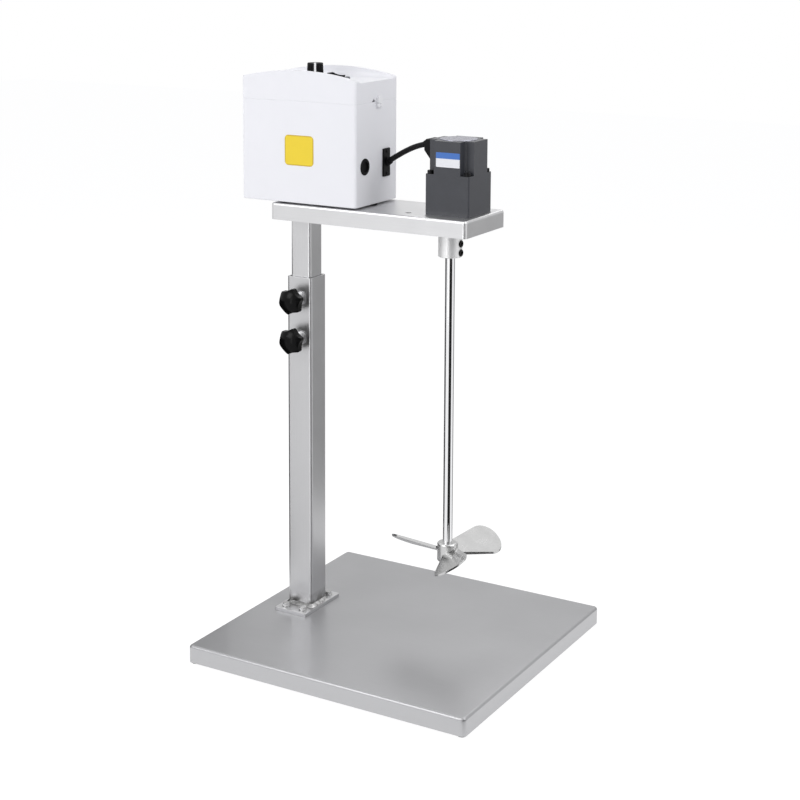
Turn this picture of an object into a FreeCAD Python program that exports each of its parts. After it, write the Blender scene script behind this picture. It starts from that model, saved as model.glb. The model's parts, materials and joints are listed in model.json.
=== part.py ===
import FreeCAD, Part
import math
import os

Vector = FreeCAD.Vector

# A drum agitator: a stirrer shaft with a three-bladed propeller hangs from a geared motor.
# The motor and its control box stand on a folded head plate, which a square column carries.
# The column slides in a larger one, clamped by two star knobs, and stands on a folded base.
# Lengths are in millimetres, +Z is up, +X runs along the head plate from column to motor.
# The origin is under the middle of the base, on the surface that the rubber pads stand on.

# Folded sheet of the base and the head plate
sheet = 2.0
weld_bead = 4.0

# Base
base_length = 448.0
base_width = 442.0
base_flange = 25.4
base_corner = 6.0
base_bend = 4.0
base_lip = 14.0
pad_diameter = 12.0
pad_height = 2.0

# Outer column and its foot
column_setback = 63.0
column_length = 507.0
column_size = 42.0
column_wall = 3.0
column_corner = 4.0
foot_length = 55.0
foot_width = 97.0
foot_thickness = 5.0
foot_corner = 2.0
foot_bolt_spacing_x = 30.0
foot_bolt_spacing_y = 72.0
backing_thickness = 3.0

# M6 bolts of the foot
bolt_diameter = 6.0
bolt_hole = 6.6
bolt_head_flats = 10.0
bolt_head_height = 4.0
washer_diameter = 12.0
washer_thickness = 1.2
nut_height = 5.0
thread_end = 2.5

# Star knobs and the bosses that they screw into
knob_top_offset = 32.5
knob_spacing = 60.0
boss_diameter = 20.0
boss_height = 8.0
stud_diameter = 8.0
thread_clearance = 0.08
thread_pitch = 1.25
knob_turns = 3.0
knob_diameter = 40.0
knob_valley_diameter = 33.0
knob_lobe_radius = 3.2
knob_lobes = 6
knob_lobe_angle = 17.0
knob_thickness = 11.5
knob_dome = 5.5
knob_back_round = 2.5
knob_hub_diameter = 19.0
knob_hub_length = 5.0
ferrule_diameter = 15.0
ferrule_length = 2.0
knob_stand_off = 2.0
thrust_pad_diameter = 6.4
thrust_pad_length = 3.0
thrust_pin_diameter = 3.0
thrust_pin_length = 4.0
contact_gap = 0.3

# Inner column
inner_size = 34.0
inner_wall = 2.5
inner_corner = 4.0
inner_length = 510.0

# Head plate, whose height is set where the clamped inner column holds it
head_length = 319.5
head_width = 120.5
head_flange = 24.6
head_corner = 5.0
head_bend = 3.5
head_rise = 91.2
head_overhang = 23.3
spare_hole_diameter = 9.0
spare_hole_from_motor = 59.7
spare_hole_spacing = 72.0

# Geared motor
motor_overhang = 43.2
motor_screw_spacing = 58.0
motor_screw_edge = 5.5
motor_screw_diameter = 5.0
motor_screw_hole = 5.5
motor_screw_head_diameter = 8.5
motor_screw_head_height = 5.0
motor_side = motor_screw_spacing + 2 * motor_screw_edge
motor_corner = 3.0
gear_case_height = 54.3
motor_height = 50.2
notch_clearance = 4.25
notch_side = motor_screw_edge + motor_screw_head_diameter / 2 + notch_clearance
bracket_flange = 3.0
bracket_thickness = 10.0
motor_wall = 9.5
motor_bore = motor_side - 2 * motor_wall
cover_lap = 2.0
cover_diameter = motor_bore + 2 * cover_lap
cover_stand = 1.0
cover_spigot = 6.0
motor_nut_flats = 8.0
motor_nut_height = 4.0
case_cavity = 61.0
case_floor = 20.0
case_boss_diameter = 30.0
case_boss_length = 4.0
case_boss_clearance = 0.5

# Gear train: rotor pinion, idler gear, idler pinion, output gear
gear_module = 0.8
rotor_pinion_teeth = 12
idler_gear_teeth = 30
idler_pinion_teeth = 14
output_gear_teeth = 28
gear_backlash = 0.22
output_face = 9.0
idler_face = 8.0
gear_level_gap = 2.0
idler_pin_diameter = 6.0
idler_pin_seat = 6.0
shaft_offset = 12.0
running_clearance = 0.05
seat_clearance = 0.02

# Bearings
output_shaft_diameter = 12.0
output_bearing_diameter = 24.0
output_bearing_width = 6.0
rotor_shaft_diameter = 8.0
rotor_bearing_diameter = 22.0
rotor_bearing_width = 7.0

# Stator and rotor
stator_bore = 30.0
stator_length = 24.0
winding_height = 4.5
winding_inset = 2.0
winding_outer = motor_bore - 2 * winding_inset
winding_inner = 33.0
air_gap = 0.4

# Cable boot and the motor lead
boot_width = 28.0
boot_depth = 13.5
boot_drop = 1.5
boot_height = 33.0
boot_straight = 16.0
lead_diameter = 8.0
gland_diameter = 11.0
gland_length = 4.0

# Coupling, stirrer shaft and propeller
output_shaft_reach = 32.0
output_shaft_flat = 5.0
coupling_diameter = 34.0
coupling_length = 44.0
coupling_from_plate = 19.5
stirrer_diameter = 14.0
stirrer_length = 478.5
clamp_screw_diameter = 6.0
clamp_screw_head_diameter = 10.0
clamp_screw_head_height = 6.0
clamp_screw_spacing = 12.9
clamp_screw_first = 6.8
clamp_screw_sunk = 4.4
grub_screw_length = 10.0
grub_screw_drop = 8.5
hub_diameter = 30.0
hub_height = 28.0
blade_count = 3
blade_first_angle = 54.5
blade_tip_radius = 88.3
blade_lead_middle = 7.0
blade_trail_middle = 3.5
blade_lead_round = 20.5
blade_trail_round = 15.1
blade_root_lead = 10.0
blade_root_trail = 4.0
blade_slope = 29.5
blade_root_thickness = 4.0
blade_tip_thickness = 2.4
hub_screw_angle = 120.0
hub_screw_diameter = 6.0
hub_screw_length = 7.0

# Control box
box_length = 195.0
box_width = 118.0
box_body_height = 147.7
box_reach = 120.9
box_wall = 3.0
box_corner = 5.0
box_foot_height = 2.4
box_foot_diameter = 15.0
box_foot_inset = 8.5
box_foot_back = 62.5
box_foot_spread = 80.0
box_screw_diameter = 5.0
box_screw_hole = 5.5
box_screw_head_diameter = 9.5
box_screw_head_height = 3.0
box_nut_flats = 8.0
box_nut_height = 4.0
seam_chamfer = 0.4
lid_end_height = 31.0
lid_arch_rise = 13.2
lid_shoulder = 7.0
lid_floor_drop = 1.5
lid_panel = 3.0
parapet = 6.5
parapet_fillet = 8.0
catch_y = 3.0
catch_diameter = 12.5
catch_depth = 4.5
catch_rise = 2.8
catch_lug_diameter = 6.6
catch_lug_spread = 7.0
catch_lug_drop = 8.4
notch_y = -9.5
notch_width = 11.0
notch_height = 5.0
tongue_width = 18.0
tongue_length = 8.0
tongue_thickness = 2.0
tongue_spread = 50.0

# Speed control: potentiometer and knob
pot_from_end = 105.0
pot_diameter = 24.0
pot_depth = 11.0
pot_bush_diameter = 9.0
pot_bush_height = 6.0
pot_shaft_diameter = 6.0
pot_shaft_length = 16.0
dial_diameter = 24.6
dial_top_diameter = 23.0
dial_height = 22.0
dial_gap = 1.0
dial_flutes = 20
dial_flute_radius = 0.9
dial_recess_diameter = 17.0
dial_recess_depth = 8.0
dial_pointer_width = 3.0
dial_pointer_depth = 0.5
dial_pointer_angle = -59.0

# Rocker switch
switch_from_end = 70.0
bezel_length = 26.0
bezel_width = 21.0
bezel_height = 2.0
switch_length = 24.0
switch_width = 19.0
switch_depth = 20.0
rocker_length = 21.5
rocker_width = 16.5
rocker_tilt = 8.5
rocker_rise = 6.4
rocker_dip = 1.8
rocker_skirt = 4.0
rocker_clearance = 0.5
rocker_pin_diameter = 3.0
rocker_pin_length = 1.2

# Pilot lamp
lamp_from_end = 49.5
lamp_diameter = 7.0
lamp_height = 4.4
lamp_barrel = 6.0
lamp_barrel_depth = 14.0

# Cable entries on the end of the box
grommet_from_side = 24.2
grommet_y = -box_width / 2 + grommet_from_side
grommet_z = 57.1
grommet_diameter = 24.0
grommet_bore = 16.0
grommet_stand = 1.2
grommet_groove = 18.0
socket_y = 24.4
socket_z = 57.4
socket_width = 18.7
socket_height = 41.0
socket_thickness = 2.5
socket_screw_diameter = 4.5
socket_screw_head = 1.2
socket_screw_spacing = 32.0

# Electrical parts inside the box
board_length = 120.0
board_width = 76.0
board_thickness = 1.6
board_stand_off = 8.0
stand_off_diameter = 6.0
capacitor_length = 46.0
capacitor_width = 26.0
capacitor_height = 34.0
terminal_length = 44.0
terminal_width = 16.0
terminal_height = 14.0

# Heights and places that follow from the sizes above
column_x = column_setback - base_length / 2
base_top = pad_height + base_flange
foot_top = base_top + foot_thickness
column_top = foot_top + column_length
head_bottom = column_top + head_rise
head_top = head_bottom + head_flange
head_under = head_top - sheet
head_start = column_x - head_overhang
head_end = head_start + head_length
motor_x = head_end - motor_overhang
output_x = motor_x - shaft_offset
case_top = head_top + gear_case_height
motor_top = case_top + motor_height
box_end = column_x + box_reach
box_start = box_end - box_length
box_middle = (box_start + box_end) / 2
pot_x = box_end - pot_from_end
switch_x = box_end - switch_from_end
lamp_x = box_end - lamp_from_end
box_bottom = head_top + box_foot_height
seam = box_bottom + box_body_height
lid_floor = seam + lid_end_height - lid_floor_drop


# Small solids that the pieces are made of

def rod(diameter, base, direction, length):
    return Part.makeCylinder(diameter / 2, length, base, direction)


def upright(diameter, x, y, bottom, top):
    return rod(diameter, Vector(x, y, bottom), Vector(0, 0, 1), top - bottom)


def brick(x_range, y_range, z_range):
    size = [high - low for low, high in (x_range, y_range, z_range)]
    return Part.makeBox(*size, Vector(x_range[0], y_range[0], z_range[0]))


def upright_edges(solid):
    return [edge for edge in solid.Edges
            if abs(edge.BoundBox.ZLength) > 0.01
            and edge.BoundBox.XLength < 0.01 and edge.BoundBox.YLength < 0.01]


def rim_edges(solid, height):
    return [edge for edge in solid.Edges
            if abs(edge.BoundBox.ZMin - height) < 0.01 and abs(edge.BoundBox.ZMax - height) < 0.01]


def rounded_brick(x_range, y_range, z_range, corner, top_bend=0.0):
    solid = brick(x_range, y_range, z_range)
    if corner > 0:
        solid = solid.makeFillet(corner, upright_edges(solid))
    if top_bend > 0:
        solid = solid.makeFillet(top_bend, rim_edges(solid, z_range[1]))
    return solid


def centred(middle, size):
    return (middle - size / 2, middle + size / 2)


def grown(span, amount):
    return (span[0] - amount, span[1] + amount)


def square_tube(x, size, wall, corner, bottom, top):
    outside = rounded_brick(centred(x, size), centred(0, size), (bottom, top), corner)
    inside = rounded_brick(centred(x, size - 2 * wall), centred(0, size - 2 * wall),
                           (bottom - 1, top + 1), corner - wall)
    return outside.cut(inside)


def folded_tray(x_range, y_range, bottom, top, corner, bend):
    outside = rounded_brick(x_range, y_range, (bottom, top), corner, bend)
    inside = rounded_brick(grown(x_range, -sheet), grown(y_range, -sheet),
                           (bottom - 1, top - sheet), corner - sheet, bend - sheet)
    return outside.cut(inside)


def polygon_face(points):
    return Part.Face(Part.makePolygon(points + [points[0]]))


def hexagon(flats, centre, direction, height):
    radius = flats / math.sqrt(3)
    points = [Vector(radius * math.cos(math.radians(60 * side)),
                     radius * math.sin(math.radians(60 * side)), 0) for side in range(6)]
    solid = polygon_face(points).extrude(Vector(0, 0, height))
    return placed(solid, centre, direction)


def placed(solid, centre, direction):
    solid = solid.copy()
    turn = FreeCAD.Rotation(Vector(0, 0, 1), direction)
    solid.Placement = FreeCAD.Placement(centre, turn).multiply(solid.Placement)
    return solid


def hexagon_bolt(x, y, seat, length):
    head = hexagon(bolt_head_flats, Vector(x, y, seat), Vector(0, 0, 1), bolt_head_height)
    crown = Part.makeCone(bolt_head_flats / 2 + bolt_head_height, bolt_head_flats / 2 - 0.3,
                          bolt_head_height + 0.3, Vector(x, y, seat))
    return head.common(crown).fuse(upright(bolt_diameter, x, y, seat - length, seat + 1)).removeSplitter()


def washer(outer, inner, x, y, bottom, thickness):
    return upright(outer, x, y, bottom, bottom + thickness).cut(
        upright(inner, x, y, bottom - 1, bottom + thickness + 1))


def hexagon_nut(x, y, bottom, flats, height, bore):
    nut = hexagon(flats, Vector(x, y, bottom), Vector(0, 0, 1), height)
    return nut.cut(upright(bore, x, y, bottom - 1, bottom + height + 1))


def cap_screw(diameter, head_diameter, head_height, seat, outward, length):
    """Socket head screw: seat is under the head, outward points out of the socket."""
    head = rod(head_diameter, Vector(0, 0, 0), Vector(0, 0, 1), head_height)
    head = head.makeChamfer(0.06 * head_diameter, rim_edges(head, head_height))
    socket = hexagon(0.5 * head_diameter, Vector(0, 0, 0.45 * head_height), Vector(0, 0, 1),
                     head_height)
    shank = rod(diameter, Vector(0, 0, -length), Vector(0, 0, 1), length + 0.2 * head_height)
    return placed(head.fuse(shank).cut(socket), seat, outward)


def grub_screw(diameter, start, outward, length):
    body = rod(diameter, Vector(0, 0, 0), Vector(0, 0, 1), length)
    socket = hexagon(0.5 * diameter, Vector(0, 0, 0.6 * length), Vector(0, 0, 1), length)
    return placed(body.cut(socket), start, outward)


def group(solids):
    return Part.makeCompound(solids)


def four_corners(x, y, spacing_x, spacing_y):
    return [(x + side_x * spacing_x / 2, y + side_y * spacing_y / 2)
            for side_x in (-1, 1) for side_y in (-1, 1)]


# Base

foot_bolt_places = four_corners(column_x, 0, foot_bolt_spacing_x, foot_bolt_spacing_y)


def base_plate():
    x_range = centred(0, base_length)
    y_range = centred(0, base_width)
    tray = folded_tray(x_range, y_range, pad_height, base_top, base_corner, base_bend)
    lip = rounded_brick(grown(x_range, -sheet / 2), grown(y_range, -sheet / 2),
                        (pad_height, pad_height + sheet), base_corner - sheet / 2)
    lip = lip.cut(brick(grown(x_range, -base_lip), grown(y_range, -base_lip),
                        (pad_height - 1, pad_height + sheet + 1)))
    tray = tray.fuse(lip).removeSplitter()
    for x, y in foot_bolt_places:
        tray = tray.cut(upright(bolt_hole, x, y, base_top - 2 * sheet, base_top + 1))
    return tray


def base_pads():
    inset = base_lip - pad_diameter / 2
    places = four_corners(0, 0, base_length - 2 * inset, base_width - 2 * inset)
    return group([upright(pad_diameter, x, y, 0, pad_height) for x, y in places])


def foot_plate():
    plate = rounded_brick(centred(column_x, foot_length), centred(0, foot_width),
                          (base_top, foot_top), foot_corner)
    for x, y in foot_bolt_places:
        plate = plate.cut(upright(bolt_hole, x, y, base_top - 1, foot_top + 1))
    return plate


def backing_plate():
    top = base_top - sheet
    plate = rounded_brick(centred(column_x, foot_length), centred(0, foot_width),
                          (top - backing_thickness, top), foot_corner)
    for x, y in foot_bolt_places:
        plate = plate.cut(upright(bolt_hole, x, y, top - backing_thickness - 1, top + 1))
    return plate


backing_bottom = base_top - sheet - backing_thickness
foot_nut_top = backing_bottom - washer_thickness
foot_bolt_seat = foot_top + washer_thickness
foot_bolt_length = foot_bolt_seat - foot_nut_top + nut_height + thread_end


def foot_bolts():
    return group([hexagon_bolt(x, y, foot_bolt_seat, foot_bolt_length) for x, y in foot_bolt_places])


def foot_washers():
    rings = []
    for x, y in foot_bolt_places:
        for bottom in (foot_top, foot_nut_top):
            rings.append(washer(washer_diameter, bolt_hole, x, y, bottom, washer_thickness))
    return group(rings)


def foot_nuts():
    bore = bolt_diameter + 2 * seat_clearance
    return group([hexagon_nut(x, y, foot_nut_top - nut_height, bolt_head_flats, nut_height, bore)
                  for x, y in foot_bolt_places])


# Outer column and its clamps

knob_heights = (column_top - knob_top_offset, column_top - knob_top_offset - knob_spacing)
outward = Vector(0, -1, 0)
inner_face = inner_size / 2
column_face = column_size / 2
boss_face = column_face + boss_height
thrust_face = inner_face + contact_gap
stud_start = thrust_face + thrust_pad_length + running_clearance
ferrule_start = boss_face + knob_stand_off
hub_start = ferrule_start + ferrule_length
knob_back = hub_start + knob_hub_length
knob_front = knob_back + knob_thickness


def weld_ring(x, size, corner, wide_height, narrow_height):
    """Fillet weld round a square tube, wide at one height and nothing at the other."""
    def outline(margin, height):
        solid = rounded_brick(centred(x, size + 2 * margin), centred(0, size + 2 * margin),
                              (height, height + 1), corner + margin)
        face = [face for face in solid.Faces if face.BoundBox.ZMax < height + 0.01][0]
        return face.OuterWire
    return Part.makeLoft([outline(weld_bead, wide_height), outline(0, narrow_height)], True, True)


def outer_column():
    tube = square_tube(column_x, column_size, column_wall, column_corner, foot_top, column_top)
    bead = weld_ring(column_x, column_size, column_corner, foot_top, foot_top + weld_bead)
    inside = rounded_brick(centred(column_x, column_size - 2 * column_wall),
                           centred(0, column_size - 2 * column_wall),
                           (foot_top - 1, column_top + 1), column_corner - column_wall)
    tube = tube.fuse(bead.cut(inside)).removeSplitter()
    for height in knob_heights:
        tube = tube.cut(rod(stud_diameter + 2 * thread_clearance, Vector(column_x, 0, height),
                            outward, column_size))
    return tube


def clamp_bosses():
    bosses = []
    for height in knob_heights:
        boss = rod(boss_diameter, Vector(column_x, -column_face, height), outward, boss_height)
        rim = [edge for edge in boss.Edges if edge.BoundBox.YMax < -boss_face + 0.01]
        boss = boss.makeChamfer(1.0, rim)
        bosses.append(boss.cut(rod(stud_diameter + 2 * thread_clearance,
                                   Vector(column_x, 0, height), outward, boss_face + 1)))
    return group(bosses)


def star_outline(radius, valley, lobe, lobes):
    """Wire of round lobes and round valleys that meet without a kink."""
    step = math.pi / lobes
    lobe_centre = radius - lobe
    hollow = ((lobe_centre ** 2 + valley ** 2 - 2 * lobe_centre * valley * math.cos(step) - lobe ** 2)
              / (2 * lobe + 2 * lobe_centre * math.cos(step) - 2 * valley))
    hollow_centre = valley + hollow

    def at(distance, angle):
        return Vector(distance * math.cos(angle), distance * math.sin(angle), 0)

    def joint(tooth, side):
        start = at(lobe_centre, 2 * step * tooth)
        end = at(hollow_centre, 2 * step * tooth + side * step)
        return start + (end - start) * (lobe / (lobe + hollow))

    edges = []
    for tooth in range(lobes):
        middle = 2 * step * tooth
        edges.append(Part.Arc(joint(tooth, -1), at(radius, middle), joint(tooth, 1)).toShape())
        edges.append(Part.Arc(joint(tooth, 1), at(valley, middle + step),
                              joint(tooth + 1, -1)).toShape())
    return Part.Wire(edges)


def star_knob(height):
    outline = star_outline(knob_diameter / 2, knob_valley_diameter / 2, knob_lobe_radius, knob_lobes)
    top = knob_thickness + knob_dome
    grip = Part.Face(outline).extrude(Vector(0, 0, top + 1))
    grip.rotate(Vector(0, 0, 0), Vector(0, 0, 1), knob_lobe_angle)
    side = knob_diameter / 2 + 1
    rise = 2 * knob_dome
    barrel = rod(2 * side, Vector(0, 0, 0), Vector(0, 0, 1), top + 1)
    barrel = barrel.makeFillet(knob_back_round, rim_edges(barrel, 0))
    sphere_radius = (side ** 2 + rise ** 2) / (2 * rise)
    dome = barrel.common(Part.makeSphere(sphere_radius, Vector(0, 0, top - sphere_radius)))
    hub = Part.makeCone(knob_hub_diameter / 2 - 1, knob_hub_diameter / 2 + 1, knob_hub_length + 1,
                        Vector(0, 0, -knob_hub_length))
    body = grip.common(dome).fuse(hub)
    bore = rod(stud_diameter + 2 * seat_clearance, Vector(0, 0, -knob_hub_length - 1),
               Vector(0, 0, 1), knob_hub_length + 1 + 0.6 * knob_thickness)
    return placed(body.cut(bore), Vector(column_x, -knob_back, height), outward)


def knob_stud(height):
    """Screw of a star knob with the steel ferrule that shows behind the grip."""
    end = knob_back + 0.6 * knob_thickness
    stud = rod(stud_diameter, Vector(column_x, -stud_start, height), outward, end - stud_start)
    ferrule = rod(ferrule_diameter, Vector(column_x, -ferrule_start, height), outward, ferrule_length)
    socket = rod(thrust_pin_diameter + 2 * running_clearance, Vector(column_x, 0, height), outward,
                 stud_start + thrust_pin_length + running_clearance)
    return stud.fuse(ferrule).cut(socket)


def thrust_pad(height):
    """Brass pad that stays still against the inner column while the stud turns on its pin."""
    pad = rod(thrust_pad_diameter, Vector(column_x, -thrust_face, height), outward, thrust_pad_length)
    pin = rod(thrust_pin_diameter, Vector(column_x, -thrust_face, height), outward,
              thrust_pad_length + thrust_pin_length)
    return pad.fuse(pin)


# Inner column and head plate

inner_bottom = head_under - inner_length
motor_screw_places = four_corners(motor_x, 0, motor_screw_spacing, motor_screw_spacing)
box_screw_places = [(box_end - box_foot_inset, 0),
                    (box_start + box_foot_back, -box_foot_spread / 2),
                    (box_start + box_foot_back, box_foot_spread / 2)]
spare_hole_places = [(motor_x - spare_hole_from_motor, side * spare_hole_spacing / 2)
                     for side in (-1, 1)]


def inner_column():
    return square_tube(column_x, inner_size, inner_wall, inner_corner, inner_bottom, head_under)


def inner_column_weld():
    """Bead under the head plate, cut short where it meets the bend of the plate's end."""
    bead = weld_ring(column_x, inner_size, inner_corner, head_under, head_under - weld_bead)
    tube = rounded_brick(centred(column_x, inner_size), centred(0, inner_size),
                         (head_bottom, head_under), inner_corner)
    reach = (head_start + head_bend, head_end)
    room = brick(reach, centred(0, head_width), (head_bottom, head_under))
    return bead.cut(tube).common(room)


def head_plate():
    tray = folded_tray((head_start, head_end), centred(0, head_width), head_bottom, head_top,
                       head_corner, head_bend)
    tray = tray.fuse(inner_column_weld())
    holes = [(case_boss_diameter + 2 * case_boss_clearance, output_x, 0)]
    holes += [(motor_screw_hole, x, y) for x, y in motor_screw_places]
    holes += [(box_screw_hole, x, y) for x, y in box_screw_places]
    holes += [(spare_hole_diameter, x, y) for x, y in spare_hole_places]
    for diameter, x, y in holes:
        tray = tray.cut(upright(diameter, x, y, head_under - 1, head_top + 1))
    return tray


# Geared motor, from the head plate up

case_floor_top = head_top + case_floor
output_gear_bottom = case_floor_top + gear_level_gap
output_gear_top = output_gear_bottom + output_face
idler_gear_bottom = output_gear_top + gear_level_gap
idler_gear_top = idler_gear_bottom + idler_face
bracket_top = case_top + bracket_thickness
lower_bearing_bottom = bracket_top - rotor_bearing_width
cover_bottom = motor_top - cover_spigot
cover_top = motor_top + cover_stand
cover_boss_bottom = cover_bottom - 3
upper_bearing_bottom = cover_boss_bottom
rotor_bottom = idler_gear_bottom - 1
rotor_top = upper_bearing_bottom + rotor_bearing_width - 0.5
stator_middle = (bracket_top + cover_bottom) / 2
bearing_lip = 2.0
output_top = output_gear_top + 0.5


def gear_radius(teeth):
    return gear_module * teeth / 2


def idler_place():
    """Where the idler axis lies: each of its gears meshes at its own centre distance."""
    to_rotor = gear_radius(rotor_pinion_teeth) + gear_radius(idler_gear_teeth)
    to_output = gear_radius(idler_pinion_teeth) + gear_radius(output_gear_teeth)
    along = (to_rotor ** 2 - to_output ** 2 + shaft_offset ** 2) / (2 * shaft_offset)
    across = math.sqrt(max(to_rotor ** 2 - along ** 2, 0.0))
    return motor_x - along, across


idler_x, idler_y = idler_place()


def spur_gear(teeth, x, y, bottom, top, first_tooth):
    """Straight-cut gear whose first tooth points at the angle first_tooth, in degrees."""
    pitch_radius = gear_radius(teeth)
    tip_radius = pitch_radius + 0.85 * gear_module
    root_radius = pitch_radius - 1.15 * gear_module
    pitch_half = (math.pi * gear_module / 2 - gear_backlash) / 2 / pitch_radius
    tip_half = pitch_half * 0.45
    root_half = min(pitch_half * 1.55, 0.9 * math.pi / teeth)
    points = []
    for tooth in range(teeth):
        middle = math.radians(first_tooth) + 2 * math.pi * tooth / teeth
        for radius, angle in ((root_radius, -root_half), (pitch_radius, -pitch_half),
                              (tip_radius, -tip_half), (tip_radius, tip_half),
                              (pitch_radius, pitch_half), (root_radius, root_half)):
            points.append(Vector(x + radius * math.cos(middle + angle),
                                 y + radius * math.sin(middle + angle), bottom))
    return polygon_face(points).extrude(Vector(0, 0, top - bottom))


rotor_to_idler = math.degrees(math.atan2(idler_y, idler_x - motor_x))
idler_to_output = math.degrees(math.atan2(-idler_y, output_x - idler_x))


def gear_case():
    case = rounded_brick(centred(motor_x, motor_side), centred(0, motor_side), (head_top, case_top),
                         motor_corner)
    boss = upright(case_boss_diameter, output_x, 0, head_top - case_boss_length, head_top + 1)
    case = case.fuse(boss)
    case = case.cut(upright(case_cavity, motor_x, 0, case_floor_top, case_top + 1))
    case = case.cut(upright(output_bearing_diameter + 2 * seat_clearance, output_x, 0,
                            head_top + bearing_lip, case_floor_top + 1))
    case = case.cut(upright(output_bearing_diameter - 6, output_x, 0,
                            head_top - case_boss_length - 1, case_top))
    case = case.cut(upright(idler_pin_diameter + 2 * seat_clearance, idler_x, idler_y,
                            case_floor_top - idler_pin_seat, case_floor_top + 1))
    for x, y in motor_screw_places:
        case = case.cut(upright(motor_screw_hole, x, y, head_top - 1, case_top + 1))
    return case


def ring_bearing(x, y, bottom, outer, bore, width):
    ring = upright(outer, x, y, bottom, bottom + width)
    ring = ring.cut(upright(bore, x, y, bottom - 1, bottom + width + 1))
    middle = (outer + bore) / 2
    shield = (outer - bore) / 5
    for start in (bottom, bottom + width - 0.5):
        groove = upright(middle + shield, x, y, start, start + 0.5).cut(
            upright(middle - shield, x, y, start, start + 0.5))
        ring = ring.cut(groove)
    return ring


def output_bearings():
    bore = output_shaft_diameter + 2 * running_clearance
    lower = head_top + bearing_lip
    upper = case_floor_top - output_bearing_width
    return group([ring_bearing(output_x, 0, bottom, output_bearing_diameter, bore,
                               output_bearing_width) for bottom in (lower, upper)])


def idler_pin():
    return upright(idler_pin_diameter, idler_x, idler_y, case_floor_top - idler_pin_seat,
                   case_top + idler_pin_seat - 1)


def idler_cluster():
    gear = spur_gear(idler_gear_teeth, idler_x, idler_y, idler_gear_bottom, idler_gear_top,
                     rotor_to_idler + 180 + 180 / idler_gear_teeth)
    pinion = spur_gear(idler_pinion_teeth, idler_x, idler_y, output_gear_bottom,
                       idler_gear_bottom + 1, idler_to_output)
    bore = upright(idler_pin_diameter + 2 * running_clearance, idler_x, idler_y,
                   output_gear_bottom - 1, idler_gear_top + 1)
    return gear.fuse(pinion).cut(bore)


def output_gear():
    gear = spur_gear(output_gear_teeth, output_x, 0, output_gear_bottom, output_gear_top,
                     idler_to_output + 180 + 180 / output_gear_teeth)
    return gear.cut(upright(output_shaft_diameter + 2 * seat_clearance, output_x, 0,
                            output_gear_bottom - 1, output_gear_top + 1))


def output_shaft():
    shaft = upright(output_shaft_diameter, output_x, 0, head_top - output_shaft_reach, output_top)
    flat = brick(centred(output_x, output_shaft_diameter),
                 (output_shaft_flat, output_shaft_diameter),
                 (head_top - output_shaft_reach - 1, head_top - output_shaft_reach + 20))
    return shaft.cut(flat)


def motor_housing():
    body = rounded_brick(centred(motor_x, motor_side), centred(0, motor_side), (case_top, motor_top),
                         motor_corner)
    body = body.cut(upright(motor_bore, motor_x, 0, bracket_top, motor_top + 1))
    body = body.cut(upright(cover_diameter + 2 * seat_clearance, motor_x, 0,
                            motor_top - cover_spigot / 2, motor_top + 1))
    body = body.cut(upright(rotor_bearing_diameter + 2 * seat_clearance, motor_x, 0,
                            lower_bearing_bottom, bracket_top + 1))
    body = body.cut(upright(rotor_shaft_diameter + 1.6, motor_x, 0, case_top - 1, bracket_top))
    body = body.cut(upright(idler_pin_diameter + 2 * seat_clearance, idler_x, idler_y, case_top - 1,
                            case_top + idler_pin_seat - 0.5))
    floor = case_top + bracket_flange
    for side_x in (-1, 1):
        for side_y in (-1, 1):
            corner_x = sorted((motor_x + side_x * motor_side, motor_x + side_x * (motor_side / 2 - notch_side)))
            corner_y = sorted((side_y * motor_side, side_y * (motor_side / 2 - notch_side)))
            notch = rounded_brick(corner_x, corner_y, (floor, motor_top + 1), 3.0)
            body = body.cut(notch)
    for x, y in motor_screw_places:
        body = body.cut(upright(motor_screw_hole, x, y, case_top - 1, floor + 1))
    return body


def motor_cover():
    cover = upright(motor_bore - 2 * seat_clearance, motor_x, 0, cover_bottom, motor_top)
    flange = upright(cover_diameter, motor_x, 0, motor_top - cover_spigot / 2, cover_top)
    flange = flange.makeFillet(0.6 * cover_stand, rim_edges(flange, cover_top))
    boss = upright(rotor_bearing_diameter + 6, motor_x, 0, cover_boss_bottom, cover_bottom + 1)
    pocket = upright(rotor_bearing_diameter + 2 * seat_clearance, motor_x, 0,
                     cover_boss_bottom - 1, cover_boss_bottom + rotor_bearing_width)
    return cover.fuse(flange).fuse(boss).cut(pocket)


def motor_screws():
    seat = case_top + bracket_flange
    length = seat - head_under + motor_nut_height + thread_end
    return group([cap_screw(motor_screw_diameter, motor_screw_head_diameter, motor_screw_head_height,
                            Vector(x, y, seat), Vector(0, 0, 1), length)
                  for x, y in motor_screw_places])


def motor_nuts():
    bore = motor_screw_diameter + 2 * seat_clearance
    return group([hexagon_nut(x, y, head_under - motor_nut_height, motor_nut_flats,
                              motor_nut_height, bore) for x, y in motor_screw_places])


def tube_ring(outer, inner, bottom, top):
    return upright(outer, motor_x, 0, bottom, top).cut(
        upright(inner, motor_x, 0, bottom - 1, top + 1))


def stator_core():
    return tube_ring(motor_bore - 2 * seat_clearance, stator_bore,
                     stator_middle - stator_length / 2, stator_middle + stator_length / 2)


def stator_windings():
    low = stator_middle - stator_length / 2
    high = stator_middle + stator_length / 2
    return group([tube_ring(winding_outer, winding_inner, low - winding_height, low),
                  tube_ring(winding_outer, winding_inner, high, high + winding_height)])


def rotor_core():
    return tube_ring(stator_bore - 2 * air_gap, rotor_shaft_diameter + 2 * seat_clearance,
                     stator_middle - stator_length / 2, stator_middle + stator_length / 2)


def rotor_shaft():
    pinion_top = idler_gear_top + 1
    shaft = upright(rotor_shaft_diameter, motor_x, 0, pinion_top - 1, rotor_top)
    return shaft.fuse(spur_gear(rotor_pinion_teeth, motor_x, 0, rotor_bottom, pinion_top,
                                rotor_to_idler))


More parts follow.
